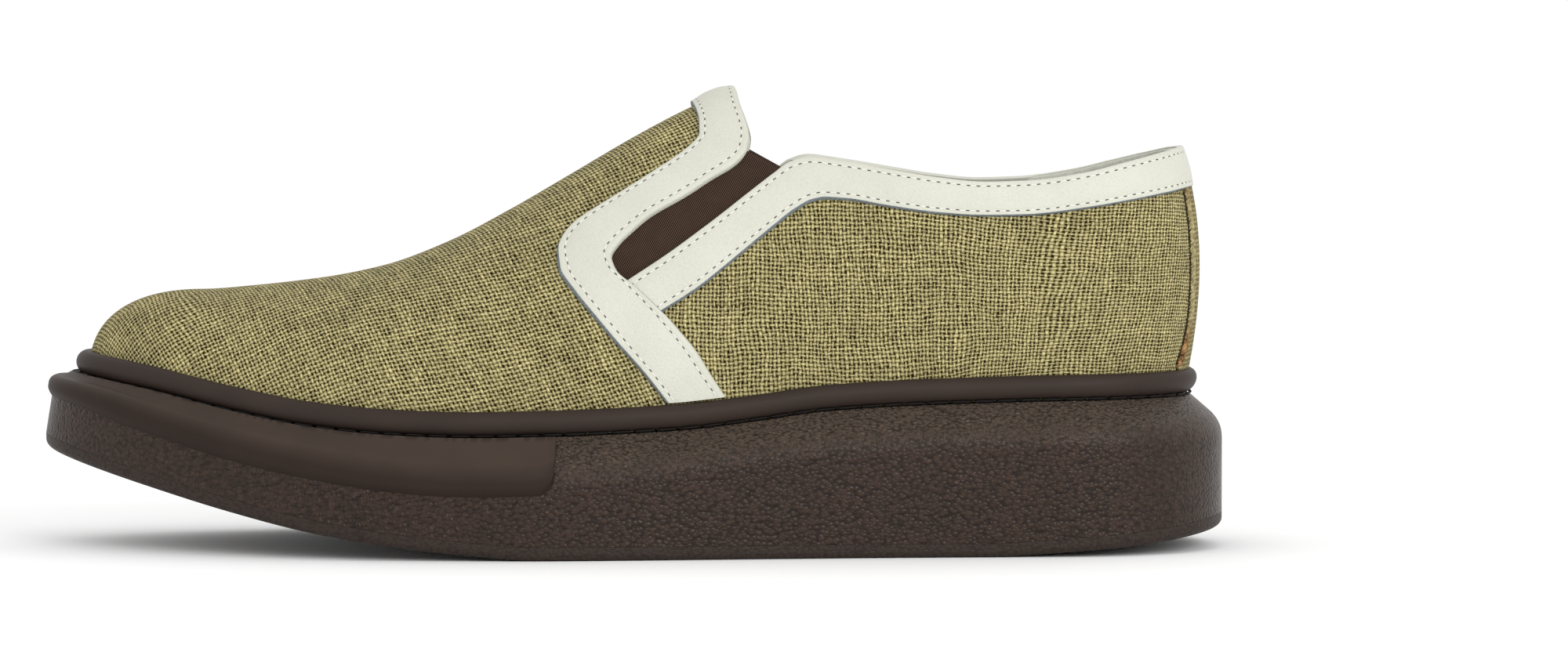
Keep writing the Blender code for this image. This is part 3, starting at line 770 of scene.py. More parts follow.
class Finish:
    """A node material, with short ways to add its nodes and join them."""

    def __init__(self, name, **constants):
        self.material = bpy.data.materials.new(name)
        self.material.use_nodes = True
        self.tree = self.material.node_tree
        self.surface = self.tree.nodes["Principled BSDF"]
        for key, value in constants.items():
            self.surface.inputs[key.replace("_", " ").title().replace("Ior", "IOR")].default_value = value

    def feed(self, socket, value):
        if isinstance(value, bpy.types.NodeSocket):
            self.tree.links.new(value, socket)
        else:
            socket.default_value = value

    def node(self, kind, inputs=None, **settings):
        made = self.tree.nodes.new("ShaderNode" + kind)
        for key, value in settings.items():
            setattr(made, key, value)
        for key, value in (inputs or {}).items():
            self.feed(made.inputs[key], value)
        return made

    def maths(self, operation, *values):
        return self.node("Math", dict(enumerate(values)), operation=operation).outputs[0]

    def wave(self, value, pitch):
        """A sine of a length, with a pitch."""
        return self.maths("SINE", self.maths("MULTIPLY", value, 2 * math.pi / pitch))

    def span(self, value, low, high):
        """A value of 0 to 1 stretched from low to high."""
        return self.maths("MULTIPLY_ADD", value, high - low, low)

    def mark(self, name, output="Fac"):
        """A value kept on the mesh's points."""
        return self.node("Attribute", attribute_name=name).outputs[output]

    def place(self):
        """The point's own place on the shoe, in millimetres."""
        return self.scaled(self.node("TexCoord").outputs["Object"], (1 / MM,) * 3)

    def scaled(self, vector, factors, moved=(0.0, 0.0, 0.0)):
        inputs = dict(enumerate((vector, factors, moved)))
        return self.node("VectorMath", inputs, operation="MULTIPLY_ADD").outputs[0]

    def vector(self, *values):
        return self.node("CombineXYZ", dict(enumerate(values))).outputs[0]

    def split(self, vector):
        return list(self.node("SeparateXYZ", {"Vector": vector}).outputs)

    def noise(self, vector, scale, detail=2.0, output="Fac"):
        return self.node("TexNoise", {"Vector": vector, "Scale": scale, "Detail": detail}).outputs[output]

    def bent(self, place, scale, detail, amount):
        """A place moved aside by noise, so that what is drawn there isn't regular."""
        return self.scaled(self.noise(place, scale, detail, "Color"), (amount,) * 3, place)

    def cells(self, vector, scale, feature="F1"):
        made = self.node("TexVoronoi", {"Vector": vector, "Scale": scale}, feature=feature)
        return made.outputs["Distance"]

    def ramp(self, value, tones):
        """The tones blended along a value."""
        made = self.node("ValToRGB", {"Fac": value})
        elements = made.color_ramp.elements
        while len(elements) < len(tones):
            elements.new(0.5)
        for element, (position, colour) in zip(elements, tones):
            element.position = position
            element.color = (*(screen(channel) for channel in colour), 1.0)
        return made.outputs["Color"]

    def mix(self, factor, first, second, **settings):
        """Two colours mixed by a factor."""
        inputs = {"Factor": factor, "A": first, "B": second}
        return self.node("Mix", inputs, **{"data_type": "RGBA", **settings}).outputs["Result"]

    def blend(self, factor, first, second):
        """Two plain values mixed by a factor."""
        return self.mix(factor, first, second, data_type="FLOAT")

    def shaded(self, colour, *factors):
        """A colour multiplied by each of the factors."""
        for factor in factors:
            colour = self.mix(1.0, colour, factor, blend_type="MULTIPLY")
        return colour

    def coloured(self, colour):
        self.feed(self.surface.inputs["Base Color"], colour)

    def rough(self, value):
        self.feed(self.surface.inputs["Roughness"], value)

    def bumped(self, height, depth, strength=1.0):
        """Relief from a height of 0 to 1, as deep as a depth in millimetres."""
        made = self.node("Bump", {"Height": height, "Strength": strength, "Distance": depth * MM})
        self.feed(self.surface.inputs["Normal"], made.outputs["Normal"])


# Threads: how far they wander from straight and over how many threads, how far each one sways, and their
# half breadth at its least and most
THREAD_DRIFT, THREAD_DRIFT_SCALE = 1.5, 0.055
THREAD_SWAY = 0.35
WARP_HALF_BREADTH, WEFT_HALF_BREADTH = (0.04, 0.66), (0.02, 0.56)

# What varies along the threads: how unlike a thread is to the next one, how fast it varies, its detail, and
# how unlike the two sets of threads are
SLUBS = (3.7, 0.22, 3.0, 11.0)
SWAYS = (5.3, 0.4, 1.0, 11.0)
TINTS = (7.1, 0.06, 2.0, 11.0)
FIBRES = (8.0, 1.1, 2.0, 5.0)

# Height of a thread halfway between under and over, how far it goes up and down from there, and the share of
# the tones that the height takes, which paints shade in the holes and where threads dip under, and highlight
# on their tops
THREAD_LEVEL, THREAD_WAVE, THREAD_TONES = 0.78, 0.42, 0.8


def thread(finish, across, along, phase, breadth):
    """One set of threads where they cross the other: height, tint and fibres."""
    number = finish.maths("FLOOR", across)

    def varied(value, spacing, rate, detail, layer):
        east, north = finish.maths("MULTIPLY", value, spacing), finish.maths("MULTIPLY", along, rate)
        return finish.noise(finish.vector(east, north, layer * phase), 1.0, detail)

    slub = varied(number, *SLUBS)
    sway = finish.span(varied(number, *SWAYS), -THREAD_SWAY, THREAD_SWAY)
    aside = finish.maths("ADD", finish.maths("SUBTRACT", finish.maths("FRACT", across), 0.5), sway)
    part = finish.maths("DIVIDE", aside, finish.span(slub, *breadth))
    inside = finish.maths("SUBTRACT", 1.0, finish.maths("MULTIPLY", part, part))
    profile = finish.maths("SQRT", finish.maths("MAXIMUM", inside, 0.0))
    wave = finish.wave(finish.maths("ADD", finish.maths("ADD", along, number), phase), 2.0)
    height = finish.maths("MULTIPLY", profile, finish.maths("MULTIPLY_ADD", wave, THREAD_WAVE, THREAD_LEVEL))
    tint = finish.span(varied(number, *TINTS), low=0.3, high=1.7)
    return height, tint, varied(across, *FIBRES)


def linen(name, tones):
    """Olive plain weave of slubby threads, with painted shade in its holes and painted highlight on its
    thread tops; the weave mark counts them, and says how much they wander.
    """
    finish = Finish(name, roughness=0.92, specular_ior_level=0.05, sheen_weight=0.03, sheen_roughness=0.5)
    threads = finish.mark("weave", "Vector")
    drift = finish.noise(threads, THREAD_DRIFT_SCALE, output="Color")
    wander = finish.maths("MULTIPLY", finish.split(threads)[2], 2 * THREAD_DRIFT)
    east, north, _ = finish.split(finish.scaled(drift, finish.vector(wander, wander, wander), threads))
    warp, warp_tint, warp_fibres = thread(finish, east, north, 0.0, WARP_HALF_BREADTH)
    weft, weft_tint, weft_fibres = thread(finish, north, east, 1.0, WEFT_HALF_BREADTH)
    height = finish.maths("MAXIMUM", warp, weft)
    above = finish.maths("GREATER_THAN", warp, weft)
    tint = finish.blend(above, weft_tint, warp_tint)
    fibres = finish.blend(above, weft_fibres, warp_fibres)
    # The tones follow the thread height: painted shade in the holes and where threads dip under, painted
    # highlight on the thread tops
    colour = finish.ramp(finish.maths("MULTIPLY", height, THREAD_TONES), tones)
    mottle = finish.span(finish.noise(finish.place(), scale=0.11, detail=3.0), low=0.73, high=1.13)
    finish.coloured(finish.shaded(colour, tint, mottle, finish.span(fibres, low=0.62, high=1.38)))
    finish.bumped(finish.maths("MULTIPLY_ADD", fibres, 0.25, height), depth=0.2, strength=0.8)
    return finish.material


def lining():
    """Dark grey knitted lining, with a leather facing where that mark is set."""
    finish = Finish("lining", roughness=0.95, specular_ior_level=0.15, sheen_weight=0.1)
    place = finish.place()
    loops = finish.cells(place, scale=1.3)
    knit = finish.ramp(loops, TONES["knit"])
    facing = finish.ramp(finish.noise(place, scale=0.6, detail=3.0), TONES["facing"])
    finish.coloured(finish.mix(finish.mark("facing"), knit, facing))
    finish.bumped(loops, depth=0.2, strength=0.6)
    return finish.material


def leather(name):
    """Off-white leather with a fine grain; its cut edge is blue-grey, and the same colour paints a shadow
    line where the throat strip passes over the collar strip.
    """
    finish = Finish(name, specular_ior_level=0.3)
    place = finish.place()
    spot = finish.bent(place, scale=0.8, detail=2.0, amount=0.9)
    grain = finish.cells(spot, scale=2.5, feature="SMOOTH_F1")
    fine = finish.noise(place, scale=1.6, detail=3.0)
    colour = finish.ramp(finish.noise(place, scale=0.07, detail=3.0), TONES["leather"])
    colour = finish.shaded(colour, finish.ramp(grain, TONES["pores"]))
    cut = finish.mark("cut")
    finish.coloured(finish.mix(cut, colour, finish.ramp(fine, TONES["cut_edge_and_lap_shadow"])))
    finish.rough(finish.span(cut, low=0.5, high=0.9))
    finish.bumped(finish.maths("SUBTRACT", fine, grain), depth=0.11, strength=0.8)
    return finish.material


def thread_finish(name, roughness):
    """Twisted sewing thread."""
    finish = Finish(name, roughness=roughness, specular_ior_level=0.25)
    twist = finish.noise(finish.place(), scale=3.5)
    finish.coloured(finish.ramp(twist, shades(COLOURS[name], (0.35, 0.9), (0.65, 1.0))))
    finish.bumped(twist, depth=0.12, strength=0.6)
    return finish.material


def fray_finish():
    """Loose fibres of the backstay's edge: pale linen, brown at its foot and its head."""
    finish = Finish("fray", roughness=0.9, specular_ior_level=0.08)
    place = finish.place()
    shade = finish.noise(place, scale=0.9, detail=3.0)
    height = finish.maths("DIVIDE", finish.split(place)[2], 100.0)
    brown = finish.ramp(height, TONES["fray_is_brown"])
    pale_fibre, brown_fibre = finish.ramp(shade, TONES["fray"]), finish.ramp(shade, TONES["brown_fray"])
    finish.coloured(finish.mix(brown, pale_fibre, brown_fibre))
    finish.bumped(finish.noise(place, scale=3.5), depth=0.12, strength=0.6)
    return finish.material


# Pitch of the gore's ribs and of the threads across them, and how high each stands
RIB_PITCH, RIB_CROSS_PITCH = 0.46, 0.6
RIB_HEIGHT, RIB_CROSS_HEIGHT = 0.38, 0.08


def elastic(name):
    """Dark brown ribbed elastic, with painted shade in the valleys between its ribs and painted highlight on
    their tops; the weave mark is across and along its ribs, in millimetres.
    """
    finish = Finish(name, roughness=0.85, specular_ior_level=0.08, sheen_weight=0.02)
    across, along, _ = finish.split(finish.mark("weave", "Vector"))
    threads = finish.maths("MULTIPLY_ADD", finish.wave(along, RIB_CROSS_PITCH), RIB_CROSS_HEIGHT, 0.5)
    height = finish.maths("MULTIPLY_ADD", finish.wave(across, RIB_PITCH), RIB_HEIGHT, threads)
    mottle = finish.span(finish.noise(finish.place(), scale=0.35, detail=3.0), low=0.8, high=1.2)
    # The colour follows the rib height: painted shade in the valleys, painted highlight on the rib tops
    finish.coloured(finish.shaded(finish.ramp(height, TONES["elastic"]), mottle))
    finish.bumped(height, depth=0.14, strength=0.8)
    return finish.material


# Pebbles: size of the coarse ones on the side and of the fine ones on the ledge and the outsole, how they
# are stretched along the shoe, and the slope and depth of the crevices between them
PEBBLE, LEDGE_PEBBLE, OUTSOLE_PEBBLE = 0.98, 0.74, 0.8
PEBBLE_STRETCH = (0.75, 1.0, 1.0)
CREVICE_SLOPE, CREVICE_DEPTH = 2.0, 0.25


def pebbles(finish, place, size):
    """Rounded pebbles of about a size in millimetres: their heights, and the way in from their edges."""
    spot = finish.scaled(finish.bent(place, scale=0.4, detail=1.0, amount=0.7), PEBBLE_STRETCH)
    spread = finish.cells(spot, 1 / size)
    height = finish.maths("SUBTRACT", 1.0, finish.maths("MULTIPLY", spread, spread))
    return height, finish.cells(spot, 1 / size, "DISTANCE_TO_EDGE")


def pebbled_rubber(name, base, ledge):
    """Dark brown rubber moulded with pebbles; where the slope mark is set they are finer, and the colour is
    painted lighter, standing in for light from above on the upward ledge. Pebble tops are painted lighter
    and their valleys darker, with pale rims beside dark crevices: painted highlight and painted shade.
    """
    finish = Finish(name, specular_ior_level=0.18)
    place = finish.place()
    slope = finish.mark("slope")
    pairs = zip(pebbles(finish, place, PEBBLE), pebbles(finish, place, LEDGE_PEBBLE))
    relief, edge = (finish.blend(slope, coarse, fine) for coarse, fine in pairs)
    # Painted shade in the valleys between pebbles and painted highlight on their tops; the ledge is painted
    # lighter as lit from above
    flank_colour = finish.ramp(relief, shades(base, (0.45, 0.95), (0.95, 1.42)))
    lit_ledge_colour = finish.ramp(relief, shades(ledge, (0.45, 0.92), (0.95, 1.44)))
    dust = finish.span(finish.noise(place, scale=0.08, detail=4.0), low=0.8, high=1.2)
    # Painted highlight on the pebbles' rims and painted shade in the crevices between them
    rim_highlights_and_crevice_shade = finish.ramp(edge, TONES["rim_highlights_and_crevice_shade"])
    finish.coloured(finish.shaded(finish.mix(slope, flank_colour, lit_ledge_colour), dust, rim_highlights_and_crevice_shade))
    finish.rough(finish.span(finish.noise(place, scale=0.2, detail=3.0), low=0.22, high=0.42))
    crevice = finish.maths("MINIMUM", finish.maths("MULTIPLY", edge, CREVICE_SLOPE), CREVICE_DEPTH)
    finish.bumped(finish.maths("ADD", relief, crevice), depth=0.3)
    return finish.material


def smooth_rubber(name, base, ledge):
    """Smooth moulded rubber with faint smears, painted lighter where the slope mark is set, standing in for
    the light from above on the upward ledge.
    """
    finish = Finish(name, specular_ior_level=0.13)
    place = finish.place()
    smear = finish.noise(finish.scaled(place, (0.5, 1.0, 1.0)), scale=0.09, detail=4.0)
    face_colour = finish.ramp(smear, shades(base, (0.3, 0.9), (0.7, 1.0)))
    # The ledge's colour is painted light, as lit from above
    lit_ledge_colour = finish.ramp(smear, shades(ledge, (0.3, 0.92), (0.7, 1.04)))
    finish.coloured(finish.mix(finish.mark("slope"), face_colour, lit_ledge_colour))
    finish.rough(finish.span(smear, low=0.42, high=0.6))
    finish.bumped(finish.noise(place, scale=1.2, detail=3.0), depth=0.05, strength=0.5)
    return finish.material


# Pitch of the ribs under the sole, and how high on their sine they begin
TREAD_PITCH, TREAD_LEVEL = 4.0, 0.2


def tread_rubber(name, base):
    """The outsole's rubber: finely pebbled on its edge, with plain cross ribs underneath; the valleys
    between pebbles are painted darker as painted shade.
    """
    finish = Finish(name, roughness=0.5, specular_ior_level=0.16)
    place = finish.place()
    relief, _ = pebbles(finish, place, OUTSOLE_PEBBLE)
    rib = finish.maths("GREATER_THAN", finish.wave(finish.split(place)[0], TREAD_PITCH), TREAD_LEVEL)
    # Painted shade in the valleys between pebbles
    finish.coloured(finish.ramp(relief, shades(base, (0.45, 0.8), (0.95, 1.0))))
    finish.bumped(finish.blend(finish.mark("under"), relief, rib), depth=0.25, strength=0.8)
    return finish.material


def footbed():
    """Tan footbed leather."""
    finish = Finish("footbed", roughness=0.65, specular_ior_level=0.3)
    place = finish.place()
    finish.coloured(finish.ramp(finish.noise(place, scale=0.06, detail=4.0), TONES["footbed"]))
    finish.bumped(finish.cells(place, scale=1.1, feature="SMOOTH_F1"), depth=0.12, strength=0.5)
    return finish.material


def floor_finish():
    finish = Finish("floor", roughness=0.9, specular_ior_level=0.1)
    finish.coloured(finish.ramp(finish.noise(finish.place(), scale=0.002), TONES["floor"]))
    return finish.material


# Cloth

# Rows and steps of each panel's mesh, and how much its threads wander
VAMP_ROWS, VAMP_STEPS, VAMP_DRIFT = 150, 160, 0.45
QUARTER_ROWS, QUARTER_STEPS, QUARTER_DRIFT = 220, 60, 1.0
BACKSTAY_ROWS, BACKSTAY_STEPS, BACKSTAY_DRIFT = 24, 60, 0.4

# Rows and steps of the table that lays the vamp flat, the run where it ends, and the share of its breadth
# that the cloth has before it is pulled over the crest of the last
DRAPE_RUNS, DRAPE_TURNS, DRAPE_END = 200, 90, 40.0
CREST_STRETCH = 0.65


def looked_up(table, row, step):
    """Values of a table at rows and steps that lie between its own."""
    low_row = np.clip(row.astype(int), 0, table.shape[0] - 2)
    low_step = np.clip(step.astype(int), 0, table.shape[1] - 2)
    part_row, part_step = row - low_row, step - low_step
    near = table[low_row, low_step] * (1 - part_step) + table[low_row, low_step + 1] * part_step
    far = table[low_row + 1, low_step] * (1 - part_step) + table[low_row + 1, low_step + 1] * part_step
    return near * (1 - part_row) + far * part_row


def laid_flat(run, side, turn):
    """Place on the vamp's cloth laid flat: along the shoe, and up the outer wall and on over the crest."""
    runs, turns = np.meshgrid(
        np.linspace(RUN_START, DRAPE_END, DRAPE_RUNS), np.linspace(0, np.pi / 2, DRAPE_TURNS), indexing="ij"
    )
    row = (run - RUN_START) / (DRAPE_END - RUN_START) * (DRAPE_RUNS - 1)
    step = turn / (np.pi / 2) * (DRAPE_TURNS - 1)
    hub_x = np.maximum(runs[:, :1], TOE_X)
    places, aside = {}, {}
    for one in (OUTER, INNER):
        steps = np.diff(upper_point(runs, one, turns), axis=1) * (1.0, CREST_STRETCH, 1.0)
        down = np.cumsum(np.linalg.norm(steps, axis=2)[:, ::-1], axis=1)[:, ::-1]
        from_crest = np.concatenate([down, np.zeros((DRAPE_RUNS, 1))], axis=1)
        edge_x, edge_y = outline(runs[:, :1], one)
        reach = np.hypot(edge_x - hub_x, edge_y - ridge(hub_x))
        places[one] = hub_x + from_crest * (edge_x - hub_x) / reach
        aside[one] = from_crest * np.abs(edge_y - ridge(hub_x)) / reach
    toe_aside = aside[OUTER][np.argmax(runs[:, 0] >= TOE_X), 0]
    crest_height = feather(hub_x) + np.maximum(aside[OUTER][:, :1], toe_aside)
    heights = {OUTER: crest_height - aside[OUTER], INNER: crest_height + aside[INNER]}
    return [
        np.where(side == OUTER, looked_up(table[OUTER], row, step), looked_up(table[INNER], row, step))
        for table in (places, heights)
    ]


def vamp_weave(run, side, turn):
    """Threads counted each way over the vamp, and how much they wander."""
    reach = np.linspace(VAMP_THREADS["x"][0], VAMP_THREADS["x"][-1], THREAD_POINTS)
    slope = line(VAMP_THREADS, "slope")(reach)
    climb = np.concatenate([[0], np.cumsum((slope[1:] + slope[:-1]) / 2 * np.diff(reach))])
    x, height = laid_flat(run, side, turn)
    warp = (x * np.sin(WARP_LEAN) + height * np.cos(WARP_LEAN)) / WARP_PITCH
    weft = (height - np.interp(x, reach, climb)) / WEFT_PITCH
    return np.stack([warp, weft, np.full_like(warp, VAMP_DRIFT)], -1)


def make_vamp(finishes):
    edge_turn = turn_at(VAMP_EDGE["x"], VAMP_EDGE["z"])
    edge_run = line({"x": edge_turn, "y": VAMP_EDGE["x"]}, "y")
    along, over = shares(VAMP_ROWS, VAMP_STEPS)
    side, up = both_sides(over)
    turn = up * np.pi / 2
    run = between(RUN_START, edge_run(turn), along)
    mesh = grid_mesh("vamp", upper_skin(run, side, turn, 0.0), {"weave": vamp_weave(run, side, turn)})
    line_inside(add_piece("vamp", mesh, "linen", finishes, "upper"), UPPER_WALL)


def along_collar(front, margin=0.0):
    """A path from the rows of a table on along the collar, its upper edge a margin below the collar's."""
    x, _ = outline(COLLAR_STRIP_RUNS, OUTER)
    rest = {
        "top_x": COLLAR_STRIP_RUNS,
        "top_z": collar_top(x) - margin,
        "low_x": COLLAR_STRIP_RUNS,
        "low_z": collar_low(x),
    }
    return {key: np.append(values, rest[key]) for key, values in front.items()}


# Leather facing all round the inside of the collar: the share of the height where it begins, and its fade
FACING_SHARE, FACING_FADE = 0.86, 0.02


def make_quarter(finishes):
    along, up = shares(QUARTER_ROWS, QUARTER_STEPS)
    side, back = both_sides(along)
    top_run, top_z, low_run = flow(along_collar(QUARTER_FRONT, GAP), back)
    run = between(low_run, top_run, up)
    z = between(feather(outline(run, OUTER)[0]), top_z, up)
    rise = z - QUARTER_THREADS_MIDDLE
    warp = (run - line(QUARTER_THREADS, "lean")(run) * rise) / WARP_PITCH
    weft = rise / line(QUARTER_THREADS, "pitch")(run)
    marks = {
        "weave": np.stack([warp * -side, weft, np.full_like(z, QUARTER_DRIFT)], -1),
        "facing": np.clip((up - FACING_SHARE) / FACING_FADE, 0, 1),
    }
    mesh = grid_mesh("quarter", upper_skin(run, side, turn_at(run, z), 0.0), marks)
    line_inside(add_piece("quarter", mesh, "linen", finishes, "upper"), UPPER_WALL)


# The backstay: half its breadth, how much each half widens to its foot, over what share of its height and
# how suddenly, its thickness, and where it ends over the feather line and the collar strip's lower edge
BACKSTAY_HALF_RUN = 11.6
BACKSTAY_FLARE, BACKSTAY_FLARE_SHARE, BACKSTAY_FLARE_POWER = 4.4, 0.3, 1.5
BACKSTAY_THICK = 0.9
BACKSTAY_FOOT, BACKSTAY_HEAD = WELT_HEIGHT - 1.0, 1.5


def backstay_point(side, from_edge, up, rise):
    """A point of the backstay; from_edge goes from 0 at its edge to 1 at the back of the heel."""
    flare = BACKSTAY_FLARE * np.clip(1 - up / BACKSTAY_FLARE_SHARE, 0, 1) ** BACKSTAY_FLARE_POWER
    run = RUN_END - (BACKSTAY_HALF_RUN + flare) * (1 - from_edge)
    x, _ = outline(run, OUTER)
    low, high = feather(x) + BACKSTAY_FOOT, collar_low(x) + BACKSTAY_HEAD
    return upper_skin(run, side, turn_at(run, between(low, high, up)), rise)


def make_backstay(finish):
    along, up = shares(BACKSTAY_ROWS, BACKSTAY_STEPS)
    side, from_edge = both_sides(along)
    points = backstay_point(side, from_edge, up, BACKSTAY_THICK)
    warp = (along - 0.5) * 2 * BACKSTAY_HALF_RUN / WARP_PITCH
    weave = np.stack([warp, points[:, :, 2] / WEFT_PITCH, np.full_like(warp, BACKSTAY_DRIFT)], -1)
    mesh = grid_mesh("backstay", points, {"weave": weave})
    piece = add_piece("backstay", mesh, "backstay_linen", [finish, finish], "backstay")
    line_inside(piece, BACKSTAY_THICK)


# Turned edge of the backstay: its fibres and their radius, the shares of its height and breadth that they
# take, their heights at both ends, and how unevenly they lie
FRAY_COUNT, FRAY_RADIUS, FRAY_SEED = 150, 0.21, 7
FRAY_LOW, FRAY_HIGH = 0.05, 0.96
FRAY_LEAN, FRAY_LEAN_LEAST, FRAY_LEAN_MOST = 0.014, 0.2, 1.6
FRAY_OUT, FRAY_IN, FRAY_RISES = -0.05, 0.07, (0.3, 1.05)
FRAY_SPREAD = 0.02


def make_fray(finish):
    """Fibres that wrap over both edges of the backstay."""
    chance = np.random.default_rng(FRAY_SEED)
    up = np.linspace(FRAY_LOW, FRAY_HIGH, FRAY_COUNT)
    starts, ends, ups = [], [], []
    for side in (OUTER, INNER):
        lean = FRAY_LEAN * chance.uniform(FRAY_LEAN_LEAST, FRAY_LEAN_MOST, FRAY_COUNT)
        aside = chance.normal(0, FRAY_SPREAD, FRAY_COUNT)
        starts.append(backstay_point(side, FRAY_OUT + aside, up - lean, FRAY_RISES[0]))
        ends.append(backstay_point(side, FRAY_IN + aside, up + lean, FRAY_RISES[1]))
        ups.append(backstay_point(side, aside, up, 2.0) - backstay_point(side, aside, up, 1.0))
    mesh = beads_mesh("backstay_fray", *(np.concatenate(part) for part in (starts, ends, ups)), FRAY_RADIUS)
    add_piece("backstay_fray", mesh, "backstay_linen", [finish])


# How far outside the backstay's edge its dark line of beads lies, as a share of half its breadth; the line
# paints the shadow along the edge
BACKSTAY_SHADOW_ASIDE = -0.085


def backstay_shadow_line(side):
    """The painted shadow line at the foot of one edge of the backstay, as a function of shares and a height.
    """

    def at(share, height):
        return backstay_point(side, BACKSTAY_SHADOW_ASIDE, between(FRAY_LOW, FRAY_HIGH, share), height)

    return at


def make_backstay_shadow_line(finish):
    """Dark beads shaped like stitches along both edges of the backstay, which paint the shadow at its edges.
    """
    rows = [stitched("row", STITCHES["backstay"], backstay_shadow_line(side)) for side in (OUTER, INNER)]
    add_piece("backstay_shadow_line", joined("backstay_shadow_line", rows), "backstay_linen", [finish])


# Leather strips

THROAT_ROWS = 260
COLLAR_ROWS = 320

# Where the throat strip passes over the collar strip: middle of the stretch, its spread, the rise and how
# fast it ends across the strip, and the share of the width and the strength of the painted shadow line at
# its edge
LAP_SHARE, LAP_SPREAD = 0.30, 0.075
LAP_RISE, LAP_FALL = 1.0, 1.4
LAP_SHADOW_SHARE, LAP_SHADOW_STRENGTH = 0.02, 0.7


def throat_path():
    """Runs and turns of the throat strip's two edges, from the welt to the crest."""
    strip = THROAT_STRIP
    return {
        "front_run": np.append(strip["front_x"], THROAT_CREST_FRONT),
        "front_turn": np.append(turn_at(strip["front_x"], strip["front_z"]), np.pi / 2),
        "rear_run": np.append(strip["rear_x"], THROAT_CREST_REAR),
        "rear_turn": np.append(turn_at(strip["rear_x"], strip["rear_z"]), np.pi / 2),
    }


def folded(across, height, past, spread):
    """How far the edge of a strip turns down over the rim, once past its start."""
    edge = (across < FOLD_EDGE) & (height < 0)
    return np.where(edge, FOLD_DEPTH * np.clip(past / spread, 0, 1), 0)


def throat_point(along, across, height):
    """A point on the throat strip; across goes from its edge on the gore to its edge on the vamp."""
    side, up = both_sides(along)
    front_run, front_turn, rear_run, rear_turn = flow(throat_path(), up)
    run, turn = between(rear_run, front_run, across), between(rear_turn, front_turn, across)
    lap = LAP_RISE * np.exp(-(((up - LAP_SHARE) / LAP_SPREAD) ** 2)) * np.clip(1 - LAP_FALL * across, 0, 1)
    fold = folded(across, height, up - THROAT_FOLD_SHARE, THROAT_FOLD_SPREAD)
    return upper_skin(run, side, turn, height + np.where(height > 0, lap, 0) - fold)


def collar_point(along, up, height):
    """A point on the collar strip; up goes from its lower to its upper edge."""
    side, back = both_sides(along)
    top_run, top_z, low_run, low_z = flow(along_collar(COLLAR_STRIP), back)
    run = between(low_run, top_run, up)
    past = np.minimum(top_run - COLLAR_FOLD_RUN, COLLAR_FOLD_END - top_run)
    fold = folded(1 - up, height, past, COLLAR_FOLD_SPREAD)
    return upper_skin(run, side, turn_at(run, between(low_z, top_z, up)), height - fold)


def lap_shadow_line(along, across):
    """A painted shadow line, in the cut edge's colour, along the throat strip's edge where it passes over
    the collar strip.
    """
    _, up = both_sides(along)
    return np.where((np.abs(up - LAP_SHARE) < LAP_SPREAD) & (across < LAP_SHADOW_SHARE), LAP_SHADOW_STRENGTH, 0)


def make_throat_trim(finish):
    """The strip round both gores and over the instep, with its turned edge on the gores."""
    share, height, cut = STRIP_SECTION.values()
    along, index = section_grid(THROAT_ROWS, len(share))
    # The cut mark also carries the painted shadow line where the throat strip passes over the collar strip
    marks = {"cut": np.maximum(cut[index], lap_shadow_line(along, share[index]))}
    mesh = grid_mesh("throat_trim", throat_point(along, share[index], height[index]), marks, closed=True)
    add_piece("throat_trim", mesh, "throat_leather", [finish], "throat_trim")


def make_collar_trim(finish):
    """The strip along the collar and down each gore, with its turned edge on top."""
    share, height, cut = STRIP_SECTION.values()
    along, index = section_grid(COLLAR_ROWS, len(share))
    points = collar_point(along, 1 - share[index], height[index])
    mesh = grid_mesh("collar_trim", points, {"cut": cut[index]}, closed=True)
    add_piece("collar_trim", mesh, "collar_leather", [finish], "collar_trim")


def strip_seam(point_at, across):
    """A seam along a strip, as a function of shares and a height."""
    return lambda along, height: point_at(along, across, height)


def make_seams(thread_material, hole_material):
    """Pale thread and needle holes along both edges of both strips; the holes are dark beads, painted shade
    where the thread goes into the leather.
    """
    for strip, point_at in (("throat", throat_point), ("collar", collar_point)):
        for kind, material in (("thread", thread_material), ("needle_holes", hole_material)):
            name = f"{strip}_{kind}"
            seams = [strip_seam(point_at, across) for across in (SEAM_SHARE, 1 - SEAM_SHARE)]
            rows = [stitched("row", STITCHES[kind], seam) for seam in seams]
            add_piece(name, joined(name, rows), strip + "_leather", [material])


# Gores

GORE_ROWS, GORE_STEPS = 90, 30
RIB_LEAN = math.radians(62)


def make_gore(name, slot, finish, side):
    along, across = shares(GORE_ROWS, GORE_STEPS)
    front_x, front_z, rear_x, rear_z = flow(SLOT, between(GORE_FOOT_SHARE, GORE_HEAD_SHARE, along))
    margin = GORE_INSET / np.hypot(rear_x - front_x, rear_z - front_z)
    from_front = 1 - across if side == OUTER else across
    part = between(margin, 1 - margin, from_front)
    run, z = between(front_x, rear_x, part), between(front_z, rear_z, part)
    to_head = (1 - along) * GORE_LENGTH
    hem = GORE_HEM_RISE * np.clip(1 - (2 * to_head / GORE_HEM - 1) ** 4, 0, 1)
    points = upper_skin(run, side, turn_at(run, z), hem - GAP)
    x, z = points[:, :, 0], points[:, :, 2]
    ribs = x * np.sin(RIB_LEAN) - z * np.cos(RIB_LEAN)
    lengths = x * np.cos(RIB_LEAN) + z * np.sin(RIB_LEAN)
    mesh = grid_mesh(name, points, {"weave": np.stack([ribs, lengths, 0 * x], -1)})
    line_inside(add_piece(name, mesh, slot, [finish, finish], name), GORE_THICK)


# Sole


